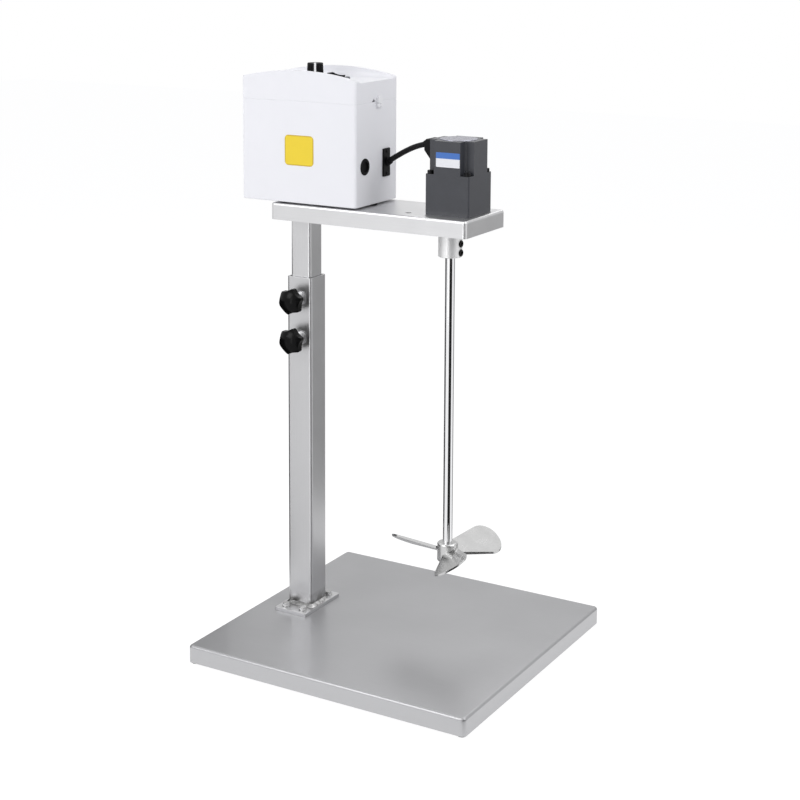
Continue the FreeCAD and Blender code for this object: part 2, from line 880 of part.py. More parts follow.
def rotor_bearings():
    bore = rotor_shaft_diameter + 2 * running_clearance
    return group([ring_bearing(motor_x, 0, bottom, rotor_bearing_diameter, bore, rotor_bearing_width)
                  for bottom in (lower_bearing_bottom, upper_bearing_bottom)])


# Motor lead, from the boot on the motor to the socket plate on the box.
# The corners of its route are shares of the way between its ends, each lifted a little.

boot_face = motor_x - motor_side / 2 - boot_depth
boot_top = motor_top - boot_drop
socket_height_middle = box_bottom + socket_z
lead_start = Vector(boot_face - 4.5, -0.2, boot_top - 9.0)
lead_end = Vector(box_end + socket_thickness + 5.0, socket_y, socket_height_middle + 3.2)
lead_shares = ((0.0, 0.0), (0.23, 3.0), (0.51, 3.3), (0.76, 2.0), (1.0, 0.0))
lead_route = [lead_start + (lead_end - lead_start) * share + Vector(0, 0, lift)
              for share, lift in lead_shares]


def lead_directions():
    return (lead_route[0] - lead_route[1]).normalize(), (lead_route[-1] - lead_route[-2]).normalize()


def cable_boot():
    back = motor_x - motor_side / 2
    outline = [Vector(back, -boot_width / 2, boot_top),
               Vector(boot_face + 3, -boot_width / 2, boot_top),
               Vector(boot_face, -boot_width / 2, boot_top - 3),
               Vector(boot_face, -boot_width / 2, boot_top - boot_straight),
               Vector(back, -boot_width / 2, boot_top - boot_height)]
    boot = polygon_face(outline).extrude(Vector(0, boot_width, 0))
    edges = [edge for edge in boot.Edges if edge.BoundBox.XMin < back - 0.5
             and edge.BoundBox.YLength < 0.01]
    boot = boot.makeFillet(1.8, edges)
    towards_boot = lead_directions()[0]
    nose = rod(gland_diameter, lead_route[0], towards_boot, boot_depth)
    front_of_motor = brick((boot_face - 20, back), (-boot_width, boot_width),
                           (boot_top - boot_height, boot_top))
    return boot.fuse(nose.common(front_of_motor))


def lead_gland():
    towards_box = lead_directions()[1]
    cone = Part.makeCone(gland_diameter / 2, gland_diameter / 2 + 1.2, 3 * gland_length,
                         lead_route[-1], towards_box)
    outside = brick((box_end + socket_thickness, box_end + 60), (0, 80), (box_bottom, seam))
    return cone.common(outside)


def motor_lead():
    """The lead's free stretch: straight runs joined by arcs that are as large as the runs allow."""
    edges = []
    start = lead_route[0]
    radii = []
    for before, corner, after in zip(lead_route, lead_route[1:], lead_route[2:]):
        incoming = corner - before
        outgoing = after - corner
        reach = 0.45 * min(incoming.Length, outgoing.Length)
        turn = incoming.getAngle(outgoing)
        radii.append(reach / math.tan(turn / 2))
        incoming.normalize()
        outgoing.normalize()
        arc_start = corner - incoming * reach
        arc_end = corner + outgoing * reach
        to_centre = (outgoing - incoming).normalize()
        centre = corner + to_centre * math.hypot(radii[-1], reach)
        middle = centre - to_centre * radii[-1]
        edges.append(Part.LineSegment(start, arc_start).toShape())
        edges.append(Part.Arc(arc_start, middle, arc_end).toShape())
        start = arc_end
    edges.append(Part.LineSegment(start, lead_route[-1]).toShape())
    path = Part.Wire(edges)
    heading = lead_route[1] - lead_route[0]
    section = Part.Wire(Part.Circle(lead_route[0], heading, lead_diameter / 2).toShape())
    tube = path.makePipeShell([section], True, False)
    area = math.pi * lead_diameter ** 2 / 4
    print("lead length", round(path.Length, 1), "radii", [round(radius) for radius in radii],
          "volume over section times length", round(tube.Volume / (area * path.Length), 4))
    return tube


# Coupling, stirrer shaft and propeller

coupling_top = head_top - coupling_from_plate
coupling_bottom = coupling_top - coupling_length
stirrer_top = head_top - output_shaft_reach - 1
stirrer_bottom = stirrer_top - stirrer_length
hub_top = stirrer_bottom + hub_height
hub_middle = stirrer_bottom + hub_height / 2
clamp_screw_seat = coupling_diameter / 2 - clamp_screw_sunk
clamp_screw_heights = [coupling_bottom + clamp_screw_first + step * clamp_screw_spacing
                       for step in range(2)]
grub_height = coupling_top - grub_screw_drop


def shaft_coupling():
    body = upright(coupling_diameter, output_x, 0, coupling_bottom, coupling_top)
    body = body.makeChamfer(1.0, rim_edges(body, coupling_bottom) + rim_edges(body, coupling_top))
    body = body.cut(upright(stirrer_diameter + 2 * seat_clearance, output_x, 0,
                            coupling_bottom - 1, stirrer_top + 0.5))
    body = body.cut(upright(output_shaft_diameter + 2 * seat_clearance, output_x, 0,
                            stirrer_top, coupling_top + 1))
    for height in clamp_screw_heights:
        body = body.cut(rod(clamp_screw_diameter + 2 * seat_clearance,
                            Vector(output_x, 0, height), Vector(1, 0, 0), coupling_diameter))
        body = body.cut(rod(clamp_screw_head_diameter + 0.4,
                            Vector(output_x + clamp_screw_seat, 0, height), Vector(1, 0, 0),
                            coupling_diameter))
    body = body.cut(rod(clamp_screw_diameter + 2 * seat_clearance, Vector(output_x, 0, grub_height),
                        Vector(0, 1, 0), coupling_diameter))
    return body


def coupling_screws():
    length = clamp_screw_seat - stirrer_diameter / 2 - 0.1
    screws = [cap_screw(clamp_screw_diameter, clamp_screw_head_diameter, clamp_screw_head_height,
                        Vector(output_x + clamp_screw_seat, 0, height), Vector(1, 0, 0), length)
              for height in clamp_screw_heights]
    screws.append(grub_screw(clamp_screw_diameter,
                             Vector(output_x, output_shaft_flat + 0.1, grub_height),
                             Vector(0, 1, 0), grub_screw_length))
    return group(screws)


def stirrer_shaft():
    shaft = upright(stirrer_diameter, output_x, 0, stirrer_bottom, stirrer_top)
    return shaft.makeChamfer(1.0, rim_edges(shaft, stirrer_bottom))


def blade_outline():
    """Plan of a blade that points along +X: a round tip, two round corners and two straight edges."""
    bottom = stirrer_bottom - blade_tip_radius

    def at(distance, angle):
        return Vector(distance * math.cos(angle), distance * math.sin(angle), bottom)

    def corner(middle, round_angle, root_width, side):
        """Root, end on the edge, middle and end on the tip of the corner on one side."""
        middle = math.radians(middle)
        turn = math.sin(math.radians(round_angle))
        radius = blade_tip_radius * turn / (1 + turn)
        centre = at(blade_tip_radius - radius, middle)
        root = Vector(0, side * root_width, bottom)
        away = centre - root
        slant = math.atan2(away.y, away.x) + side * math.asin(radius / away.Length)
        reach = math.sqrt(away.Length ** 2 - radius ** 2)
        on_edge = root + Vector(reach * math.cos(slant), reach * math.sin(slant), 0)
        on_tip = at(blade_tip_radius, middle)
        between = (on_edge + on_tip) * 0.5 - centre
        return root, on_edge, centre + between.normalize() * radius, on_tip

    lead = corner(blade_lead_middle, blade_lead_round, blade_root_lead, 1)
    trail = corner(blade_trail_middle, blade_trail_round, blade_root_trail, -1)
    tip = at(blade_tip_radius, math.radians((blade_lead_middle + blade_trail_middle) / 2))
    edges = [Part.LineSegment(trail[0], trail[1]).toShape(),
             Part.Arc(trail[1], trail[2], trail[3]).toShape(),
             Part.Arc(trail[3], tip, lead[3]).toShape(),
             Part.Arc(lead[3], lead[2], lead[1]).toShape(),
             Part.LineSegment(lead[1], lead[0]).toShape(),
             Part.LineSegment(lead[0], trail[0]).toShape()]
    return Part.Face(Part.Wire(edges))


def blade_section(distance, thickness):
    """Section, at one distance from the axis, of the slanting plate that a blade is trimmed from."""
    slope = math.radians(blade_slope)
    half = 0.75 * blade_tip_radius
    corners = []
    for across, up in ((-half, -1), (half, -1), (half, 1), (-half, 1)):
        rise = up * thickness / 2
        corners.append(Vector(distance, across - rise * math.sin(slope),
                              hub_middle + across * math.tan(slope) + rise * math.cos(slope)))
    return Part.makePolygon(corners + [corners[0]])


def propeller():
    root = blade_section(hub_diameter / 2 - 4, blade_root_thickness)
    tip = blade_section(blade_tip_radius + 1, blade_tip_thickness)
    plate = Part.makeLoft([root, tip], True, True)
    blade = plate.common(blade_outline().extrude(Vector(0, 0, 3 * blade_tip_radius)))
    hub = upright(hub_diameter, 0, 0, stirrer_bottom, hub_top)
    hub = hub.makeFillet(3.0, rim_edges(hub, stirrer_bottom) + rim_edges(hub, hub_top))
    body = hub
    for index in range(blade_count):
        turned = blade.copy()
        turned.rotate(Vector(0, 0, 0), Vector(0, 0, 1), blade_first_angle + 360 * index / blade_count)
        body = body.fuse(turned)
    body.translate(Vector(output_x, 0, 0))
    body = body.cut(upright(stirrer_diameter + 2 * seat_clearance, output_x, 0,
                            stirrer_bottom - 1, hub_top + 1))
    return body.cut(rod(hub_screw_diameter + 2 * seat_clearance, hub_screw_start(), hub_screw_way(),
                        hub_diameter))


def hub_screw_way():
    angle = math.radians(hub_screw_angle)
    return Vector(math.cos(angle), math.sin(angle), 0)


def hub_screw_start():
    return (Vector(output_x, 0, hub_top - 0.3 * hub_height)
            + hub_screw_way() * (stirrer_diameter / 2 + 0.1))


def propeller_screw():
    return grub_screw(hub_screw_diameter, hub_screw_start(), hub_screw_way(), hub_screw_length)


# Control box

box_x = (box_start, box_end)
box_y = centred(0, box_width)
switch_pivot = lid_floor + 1.0
grommet_height = box_bottom + grommet_z


def box_body():
    body = rounded_brick(box_x, box_y, (box_bottom, seam), box_corner)
    body = body.makeChamfer(1.0, rim_edges(body, box_bottom))
    body = body.makeChamfer(seam_chamfer, rim_edges(body, seam))
    inside = rounded_brick(grown(box_x, -box_wall), grown(box_y, -box_wall),
                           (box_bottom + box_wall, seam + 1), box_corner - box_wall)
    body = body.cut(inside)
    for x, y in box_screw_places:
        body = body.cut(upright(box_screw_hole, x, y, box_bottom - 1, box_bottom + box_wall + 1))
    face = box_end - box_wall - 1
    body = body.cut(rod(grommet_groove, Vector(face, grommet_y, grommet_height), Vector(1, 0, 0),
                        2 * box_wall))
    return body.cut(rod(lead_diameter + 2, Vector(face, socket_y, socket_height_middle),
                        Vector(1, 0, 0), 2 * box_wall))


def box_lid():
    """Lid with a flat panel between two arched parapets along its long sides."""
    end_height = seam + lid_end_height
    crown = end_height + lid_arch_rise
    block = rounded_brick(box_x, box_y, (seam, crown + 1), box_corner)
    block = block.makeChamfer(seam_chamfer, rim_edges(block, seam))
    left = Vector(box_start, box_y[0], end_height)
    right = Vector(box_end, box_y[0], end_height)
    low_left = Vector(box_start, box_y[0], seam)
    low_right = Vector(box_end, box_y[0], seam)
    arch = Part.Arc(Vector(box_start + lid_shoulder, box_y[0], end_height + 0.25 * lid_arch_rise),
                    Vector(box_middle, box_y[0], crown),
                    Vector(box_end - lid_shoulder, box_y[0], end_height + 0.25 * lid_arch_rise))
    edges = [Part.LineSegment(low_left, left).toShape(),
             Part.Arc(left, Vector(box_start + 0.35 * lid_shoulder, box_y[0],
                                   end_height + 0.17 * lid_arch_rise),
                      Vector(box_start + lid_shoulder, box_y[0],
                             end_height + 0.25 * lid_arch_rise)).toShape(),
             arch.toShape(),
             Part.Arc(Vector(box_end - lid_shoulder, box_y[0], end_height + 0.25 * lid_arch_rise),
                      Vector(box_end - 0.35 * lid_shoulder, box_y[0],
                             end_height + 0.17 * lid_arch_rise), right).toShape(),
             Part.LineSegment(right, low_right).toShape(),
             Part.LineSegment(low_right, low_left).toShape()]
    side_view = Part.Face(Part.Wire(edges)).extrude(Vector(0, box_width, 0))
    lid = block.common(side_view)
    lid = lid.cut(trough(crown + 5))
    inside = rounded_brick(grown(box_x, -box_wall), grown(box_y, -box_wall),
                           (seam - 1, lid_floor - lid_panel), box_corner - box_wall)
    lid = lid.cut(inside)
    lid = lid.cut(upright(pot_bush_diameter + 0.4, pot_x, 0, lid_floor - 2 * lid_panel, crown))
    lid = lid.cut(upright(lamp_barrel + 0.4, lamp_x, 0, lid_floor - 2 * lid_panel, crown))
    lid = lid.cut(brick(centred(switch_x, switch_length + 0.4), centred(0, switch_width + 0.4),
                        (lid_floor - 2 * lid_panel, crown)))
    notch = polygon_face([Vector(box_end - 2 * box_wall, notch_y - notch_width / 2, seam - 0.1),
                          Vector(box_end - 2 * box_wall, notch_y + notch_width / 2, seam - 0.1),
                          Vector(box_end - 2 * box_wall, notch_y, seam + notch_height)])
    lid = lid.cut(notch.extrude(Vector(3 * box_wall, 0, 0)))
    for side in (-1, 1):
        start = box_start + box_wall + contact_gap
        tongue = brick((start, start + tongue_thickness),
                       centred(side * tongue_spread / 2, tongue_width),
                       (seam - tongue_length, lid_floor - lid_panel))
        lid = lid.fuse(tongue)
    return lid


def trough(top):
    """What is cut out between the parapets: a flat floor with round sides."""
    half = box_width / 2 - parapet
    bend = parapet_fillet
    start = box_start - 1

    def at(y, z):
        return Vector(start, y, z)

    slant = bend * (1 - math.sqrt(0.5))
    edges = [Part.LineSegment(at(-half, top), at(-half, lid_floor + bend)).toShape(),
             Part.Arc(at(-half, lid_floor + bend), at(-half + slant, lid_floor + slant),
                      at(-half + bend, lid_floor)).toShape(),
             Part.LineSegment(at(-half + bend, lid_floor), at(half - bend, lid_floor)).toShape(),
             Part.Arc(at(half - bend, lid_floor), at(half - slant, lid_floor + slant),
                      at(half, lid_floor + bend)).toShape(),
             Part.LineSegment(at(half, lid_floor + bend), at(half, top)).toShape(),
             Part.LineSegment(at(half, top), at(-half, top)).toShape()]
    return Part.Face(Part.Wire(edges)).extrude(Vector(box_length + 2, 0, 0))


def lid_catch():
    """Turning catch on the motor end of the box: a round button with two small lobes below."""
    def lug(diameter, y, z):
        button = rod(diameter, Vector(box_end, y, z), Vector(1, 0, 0), catch_depth)
        return button.makeFillet(1.5, far_rim(button, box_end + catch_depth))

    catch = lug(catch_diameter, catch_y, seam + catch_rise)
    for side in (-1, 1):
        catch = catch.fuse(lug(catch_lug_diameter, catch_y + side * catch_lug_spread / 2,
                               seam + catch_rise - catch_lug_drop))
    return catch.removeSplitter()


def far_rim(solid, x):
    return [edge for edge in solid.Edges
            if abs(edge.BoundBox.XMin - x) < 0.01 and abs(edge.BoundBox.XMax - x) < 0.01]


def box_feet():
    return group([washer(box_foot_diameter, box_screw_hole, x, y, head_top, box_foot_height)
                  for x, y in box_screw_places])


def box_screws():
    nut_top = box_bottom + box_wall + box_nut_height
    length = nut_top + 1.5 - head_under
    return group([cap_screw(box_screw_diameter, box_screw_head_diameter, box_screw_head_height,
                            Vector(x, y, head_under), Vector(0, 0, -1), length)
                  for x, y in box_screw_places])


def box_nuts():
    bore = box_screw_diameter + 2 * seat_clearance
    return group([hexagon_nut(x, y, box_bottom + box_wall, box_nut_flats, box_nut_height, bore)
                  for x, y in box_screw_places])


# Controls on the lid

panel_under = lid_floor - lid_panel
dial_bottom = lid_floor + dial_gap
dial_top = dial_bottom + dial_height - dial_gap


def potentiometer():
    body = upright(pot_diameter, pot_x, 0, panel_under - pot_depth, panel_under)
    bush = upright(pot_bush_diameter, pot_x, 0, panel_under - 1, lid_floor + pot_bush_height)
    bore = upright(pot_shaft_diameter + 2 * running_clearance, pot_x, 0,
                   panel_under - pot_depth + 2, lid_floor + pot_bush_height + 1)
    nut = hexagon(11.0, Vector(pot_x, 0, lid_floor), Vector(0, 0, 1), 2.0)
    return body.fuse(bush).fuse(nut).cut(bore)


def pot_shaft():
    return upright(pot_shaft_diameter, pot_x, 0, panel_under - pot_depth + 2.2,
                   lid_floor + pot_shaft_length)


def speed_knob():
    """Fluted knob with a slot down its side and over its top for the white pointer."""
    height = dial_top - dial_bottom
    body = Part.makeCone(dial_diameter / 2, dial_top_diameter / 2, height,
                         Vector(pot_x, 0, dial_bottom))
    body = body.makeFillet(1.2, rim_edges(body, dial_top))
    for index in range(dial_flutes):
        angle = 2 * math.pi * (index + 0.5) / dial_flutes + math.radians(dial_pointer_angle)
        lean = (dial_diameter - dial_top_diameter) / 2
        foot = Vector(pot_x + dial_diameter / 2 * math.cos(angle),
                      dial_diameter / 2 * math.sin(angle), dial_bottom - 0.5)
        way = Vector(-lean * math.cos(angle), -lean * math.sin(angle), height)
        body = body.cut(rod(2 * dial_flute_radius, foot, way, height - 2.5))
    body = body.cut(upright(dial_recess_diameter, pot_x, 0, dial_bottom - 1,
                            dial_bottom + dial_recess_depth))
    body = body.cut(upright(pot_shaft_diameter + 2 * seat_clearance, pot_x, 0, dial_bottom,
                            lid_floor + pot_shaft_length + 0.2))
    return body.cut(pointer_slot(dial_pointer_depth))


def pointer_slot(depth):
    reach = dial_diameter / 2
    slot = brick((0, reach + 1), centred(0, dial_pointer_width), (dial_bottom - 1, dial_top + 1))
    core = Part.makeCone(dial_diameter / 2 - depth, dial_top_diameter / 2 - depth,
                         dial_top - dial_bottom - depth, Vector(0, 0, dial_bottom))
    slot = slot.cut(core).cut(upright(2 * reach + 4, 0, 0, dial_bottom - 2, dial_bottom))
    slot.rotate(Vector(0, 0, 0), Vector(0, 0, 1), dial_pointer_angle)
    slot.translate(Vector(pot_x, 0, 0))
    return slot


def knob_pointer():
    """White inlay that fills the slot of the speed knob."""
    outside = Part.makeCone(dial_diameter / 2, dial_top_diameter / 2, dial_top - dial_bottom,
                            Vector(pot_x, 0, dial_bottom))
    outside = outside.makeFillet(1.2, rim_edges(outside, dial_top))
    return pointer_slot(dial_pointer_depth - 2 * seat_clearance).common(outside)


def switch_body():
    body = brick(centred(switch_x, switch_length), centred(0, switch_width),
                 (lid_floor - switch_depth, lid_floor + 0.5))
    bezel = rounded_brick(centred(switch_x, bezel_length), centred(0, bezel_width),
                          (lid_floor, lid_floor + bezel_height), 1.5, 0.8)
    body = body.fuse(bezel)
    well = brick(centred(switch_x, rocker_length + 2 * rocker_clearance + 1.2),
                 centred(0, rocker_width + 2 * rocker_clearance),
                 (switch_pivot - rocker_skirt - 3.2, lid_floor + bezel_height + 1))
    body = body.cut(well)
    pin_hole = rod(rocker_pin_diameter + 2 * running_clearance,
                   Vector(switch_x, -rocker_width / 2 - rocker_pin_length - 0.3, switch_pivot),
                   Vector(0, 1, 0), rocker_width + 2 * rocker_pin_length + 0.6)
    body = body.cut(pin_hole)
    for place in (-8, 0, 8):
        body = body.fuse(brick(centred(switch_x + place, 0.8), centred(0, 6.3),
                               (lid_floor - switch_depth - 8, lid_floor - switch_depth + 1)))
    return body


def rocker():
    """Two-winged button, pressed down at its +X end."""
    half = rocker_length / 2
    dip = rocker_rise - rocker_dip
    outline = [Part.LineSegment(Vector(-half, 0, -rocker_skirt), Vector(half, 0, -rocker_skirt)),
               Part.LineSegment(Vector(half, 0, -rocker_skirt), Vector(half, 0, rocker_rise)),
               Part.Arc(Vector(half, 0, rocker_rise), Vector(0, 0, dip), Vector(-half, 0, rocker_rise)),
               Part.LineSegment(Vector(-half, 0, rocker_rise), Vector(-half, 0, -rocker_skirt))]
    face = Part.Face(Part.Wire([line.toShape() for line in outline]))
    wings = face.extrude(Vector(0, rocker_width, 0))
    wings.translate(Vector(0, -rocker_width / 2, 0))
    pin = rod(rocker_pin_diameter, Vector(0, -rocker_width / 2 - rocker_pin_length, 0),
              Vector(0, 1, 0), rocker_width + 2 * rocker_pin_length)
    body = wings.fuse(pin)
    body.rotate(Vector(0, 0, 0), Vector(0, 1, 0), rocker_tilt)
    body.translate(Vector(switch_x, 0, switch_pivot))
    return body


def pilot_lamp():
    lens = upright(lamp_diameter, lamp_x, 0, lid_floor, lid_floor + lamp_height)
    lens = lens.makeFillet(1.6, rim_edges(lens, lid_floor + lamp_height))
    barrel = upright(lamp_barrel, lamp_x, 0, lid_floor - lamp_barrel_depth, lid_floor + 1)
    return lens.fuse(barrel)


# Cable entries

def cable_grommet():
    """Rubber grommet with a closed membrane, which a mains lead would be pushed through."""
    face = box_end

    def disc(diameter, start, length):
        return rod(diameter, Vector(start, grommet_y, grommet_height), Vector(1, 0, 0), length)

    ring = disc(grommet_diameter, face, grommet_stand)
    ring = ring.makeFillet(0.5, far_rim(ring, face + grommet_stand))
    ring = ring.fuse(disc(grommet_groove - 2 * seat_clearance, face - box_wall, box_wall + 0.5))
    ring = ring.fuse(disc(grommet_diameter - 2, face - box_wall - grommet_stand, grommet_stand))
    ring = ring.cut(disc(grommet_bore, face - 1.0, 5))
    return ring.cut(disc(grommet_bore, face - box_wall - grommet_stand - 1, grommet_stand + 2))


def socket_plate():
    face = box_end
    plate = brick((face, face + socket_thickness), centred(socket_y, socket_width),
                  centred(socket_height_middle, socket_height))
    along = [edge for edge in plate.Edges if edge.BoundBox.XLength > 0.5]
    plate = plate.makeFillet(1.5, along)
    spigot = rod(lead_diameter + 2 - 2 * seat_clearance,
                 Vector(face - box_wall, socket_y, socket_height_middle), Vector(1, 0, 0),
                 box_wall + 0.5)
    return plate.fuse(spigot)


def socket_screws():
    seat = box_end + socket_thickness
    screws = []
    for side in (-1, 1):
        height = socket_height_middle + side * socket_screw_spacing / 2
        head = rod(socket_screw_diameter, Vector(seat, socket_y, height), Vector(1, 0, 0),
                   socket_screw_head)
        head = head.makeFillet(0.7, far_rim(head, seat + socket_screw_head))
        slot = brick((seat + 0.6, seat + 3), centred(socket_y, 0.8), centred(height, 8))
        screws.append(head.cut(slot))
    return group(screws)


# Inside the box

board_bottom = box_bottom + box_wall + board_stand_off
board_top = board_bottom + board_thickness
board_x = box_middle + 4


def control_board():
    return brick(centred(board_x, board_length), centred(0, board_width), (board_bottom, board_top))


def board_stand_offs():
    places = four_corners(board_x, 0, board_length - 10, board_width - 10)
    return group([upright(stand_off_diameter, x, y, box_bottom + box_wall, board_bottom)
                  for x, y in places])


def run_capacitor():
    block = rounded_brick(centred(board_x - 30, capacitor_length), centred(-20, capacitor_width),
                          (board_top, board_top + capacitor_height), 2.0)
    return block


def terminal_block():
    block = brick(centred(board_x + 25, terminal_length), centred(22, terminal_width),
                  (board_top, board_top + terminal_height))
    for index in range(5):
        x = board_x + 25 + (index - 2) * terminal_length / 5
        block = block.cut(upright(4.0, x, 22, board_top + terminal_height - 5,
                                  board_top + terminal_height + 1))
    return block


nodes = {
    "base_plate": base_plate,
    "base_pads": base_pads,
    "foot_plate": foot_plate,
    "foot_backing_plate": backing_plate,
    "foot_bolts": foot_bolts,
    "foot_washers": foot_washers,
    "foot_nuts": foot_nuts,
    "outer_column": outer_column,
    "clamp_bosses": clamp_bosses,
    "upper_thrust_pad": lambda: thrust_pad(knob_heights[0]),
    "upper_knob_stud": lambda: knob_stud(knob_heights[0]),
    "upper_star_knob": lambda: star_knob(knob_heights[0]),
    "lower_thrust_pad": lambda: thrust_pad(knob_heights[1]),
    "lower_knob_stud": lambda: knob_stud(knob_heights[1]),
    "lower_star_knob": lambda: star_knob(knob_heights[1]),
    "inner_column": inner_column,
    "head_plate": head_plate,
    "gear_case": gear_case,
    "output_bearings": output_bearings,
    "idler_pin": idler_pin,
    "idler_gears": idler_cluster,
    "output_gear": output_gear,
    "output_shaft": output_shaft,
    "motor_housing": motor_housing,
    "motor_cover": motor_cover,
    "motor_screws": motor_screws,
    "motor_nuts": motor_nuts,
    "stator_core": stator_core,
    "stator_windings": stator_windings,
    "rotor_core": rotor_core,
    "rotor_shaft": rotor_shaft,
    "rotor_bearings": rotor_bearings,
    "cable_boot": cable_boot,
    "motor_lead": motor_lead,
    "lead_gland": lead_gland,
    "shaft_coupling": shaft_coupling,
    "coupling_screws": coupling_screws,
    "stirrer_shaft": stirrer_shaft,
    "propeller": propeller,
    "propeller_screw": propeller_screw,
    "box_body": box_body,
    "box_lid": box_lid,
    "lid_catch": lid_catch,
    "box_feet": box_feet,
    "box_screws": box_screws,
    "box_nuts": box_nuts,
    "potentiometer": potentiometer,
    "potentiometer_shaft": pot_shaft,
    "speed_knob": speed_knob,
    "speed_knob_pointer": knob_pointer,
    "switch_body": switch_body,
    "switch_rocker": rocker,
    "pilot_lamp": pilot_lamp,
    "cable_grommet": cable_grommet,
    "socket_plate": socket_plate,
    "socket_screws": socket_screws,
    "control_board": control_board,
    "board_stand_offs": board_stand_offs,
    "run_capacitor": run_capacitor,
    "terminal_block": terminal_block,
}

# The sizes above are laid out from the middle of the base. The origin that is handed out lies
# under the middle of the whole object, because the box reaches past the edge of the base.

whole_start = min(box_start, -base_length / 2)
whole_end = max(head_end, base_length / 2)
to_middle = Vector(-(whole_start + whole_end) / 2, 0, 0)

os.makedirs("parts", exist_ok=True)
for name, make in nodes.items():
    shape = make()
    shape.translate(to_middle)
    shape.exportStep(os.path.join("parts", name + ".step"))
print("wrote", len(nodes), "nodes")
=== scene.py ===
import json
import math
import bpy
import bmesh
from mathutils import Matrix, Vector


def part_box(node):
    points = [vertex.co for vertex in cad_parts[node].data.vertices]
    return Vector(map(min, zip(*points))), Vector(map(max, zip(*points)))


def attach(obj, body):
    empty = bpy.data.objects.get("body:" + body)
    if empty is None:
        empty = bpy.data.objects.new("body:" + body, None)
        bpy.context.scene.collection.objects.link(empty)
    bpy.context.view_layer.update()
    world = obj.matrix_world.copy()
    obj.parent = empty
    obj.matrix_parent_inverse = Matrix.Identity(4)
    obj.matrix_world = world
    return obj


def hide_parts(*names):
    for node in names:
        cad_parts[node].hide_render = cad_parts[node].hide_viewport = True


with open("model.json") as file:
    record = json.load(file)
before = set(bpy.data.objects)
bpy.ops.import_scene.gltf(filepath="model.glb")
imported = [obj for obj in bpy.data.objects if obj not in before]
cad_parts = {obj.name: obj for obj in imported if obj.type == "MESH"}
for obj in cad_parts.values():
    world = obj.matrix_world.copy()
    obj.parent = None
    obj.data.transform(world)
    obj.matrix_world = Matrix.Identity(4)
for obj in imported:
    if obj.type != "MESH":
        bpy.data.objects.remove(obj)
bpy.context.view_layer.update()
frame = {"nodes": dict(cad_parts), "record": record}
nodes = frame["nodes"]


def say(*words):
    print("agitator:", *words)


# one wrapped socket: python operators become Math nodes
class Signal:
    def __init__(self, tree, socket):
        self.tree = tree
        self.socket = socket

    def __add__(self, other):
        return self.tree.maths("ADD", self, other)

    def __radd__(self, other):
        return self.tree.maths("ADD", other, self)

    def __mul__(self, other):
        return self.tree.maths("MULTIPLY", self, other)

    def __rmul__(self, other):
        return self.tree.maths("MULTIPLY", other, self)

    def __gt__(self, other):
        return self.tree.maths("GREATER_THAN", self, other)

    def __lt__(self, other):
        return self.tree.maths("LESS_THAN", self, other)


# the nodes of a material or of the world, up to the output node that is named
class Tree:
    def __init__(self, tree, output):
        self.tree = tree
        self.output = tree.nodes[output]

    def put(self, kind, settings, inputs, output=0):
        node = self.tree.nodes.new(kind)
        for name, value in settings.items():
            setattr(node, name, value)
        for name, value in inputs.items():
            self.feed(node.inputs[name], value)
        return Signal(self, node.outputs[output])

    # links a signal, or sets a plain value, and a plain colour is opaque
    def feed(self, socket, value):
        if isinstance(value, Signal):
            self.tree.links.new(value.socket, socket)
        elif socket.type == "RGBA":
            socket.default_value = (*value, 1.0)
        else:
            socket.default_value = value

    def maths(self, operation, *values):
        return self.put("ShaderNodeMath", {"operation": operation}, dict(enumerate(values)))

    # 1 for a ray from the camera, from a mirroring surface or through glass
    def seenRay(self):
        rays = [self.put("ShaderNodeLightPath", {}, {}, ray)
                for ray in ("Is Camera Ray", "Is Glossy Ray", "Is Transmission Ray")]
        return self.maths("MAXIMUM", self.maths("MAXIMUM", rays[0], rays[1]), rays[2])

    def show(self, shader):
        self.feed(self.output.inputs["Surface"], shader)


mixSockets = {"share": 0, "first": 6, "second": 7, "result": 2}  # a Mix node's colour sockets
noiseRange = {"low": 0.3, "high": 0.7}  # most of a noise lies between these
shaderSockets = {
    "colour": "Base Color", "roughness": "Roughness", "metallic": "Metallic",
    "coat": "Coat Weight", "coatRoughness": "Coat Roughness", "normal": "Normal",
    "specular": "Specular IOR Level",
}


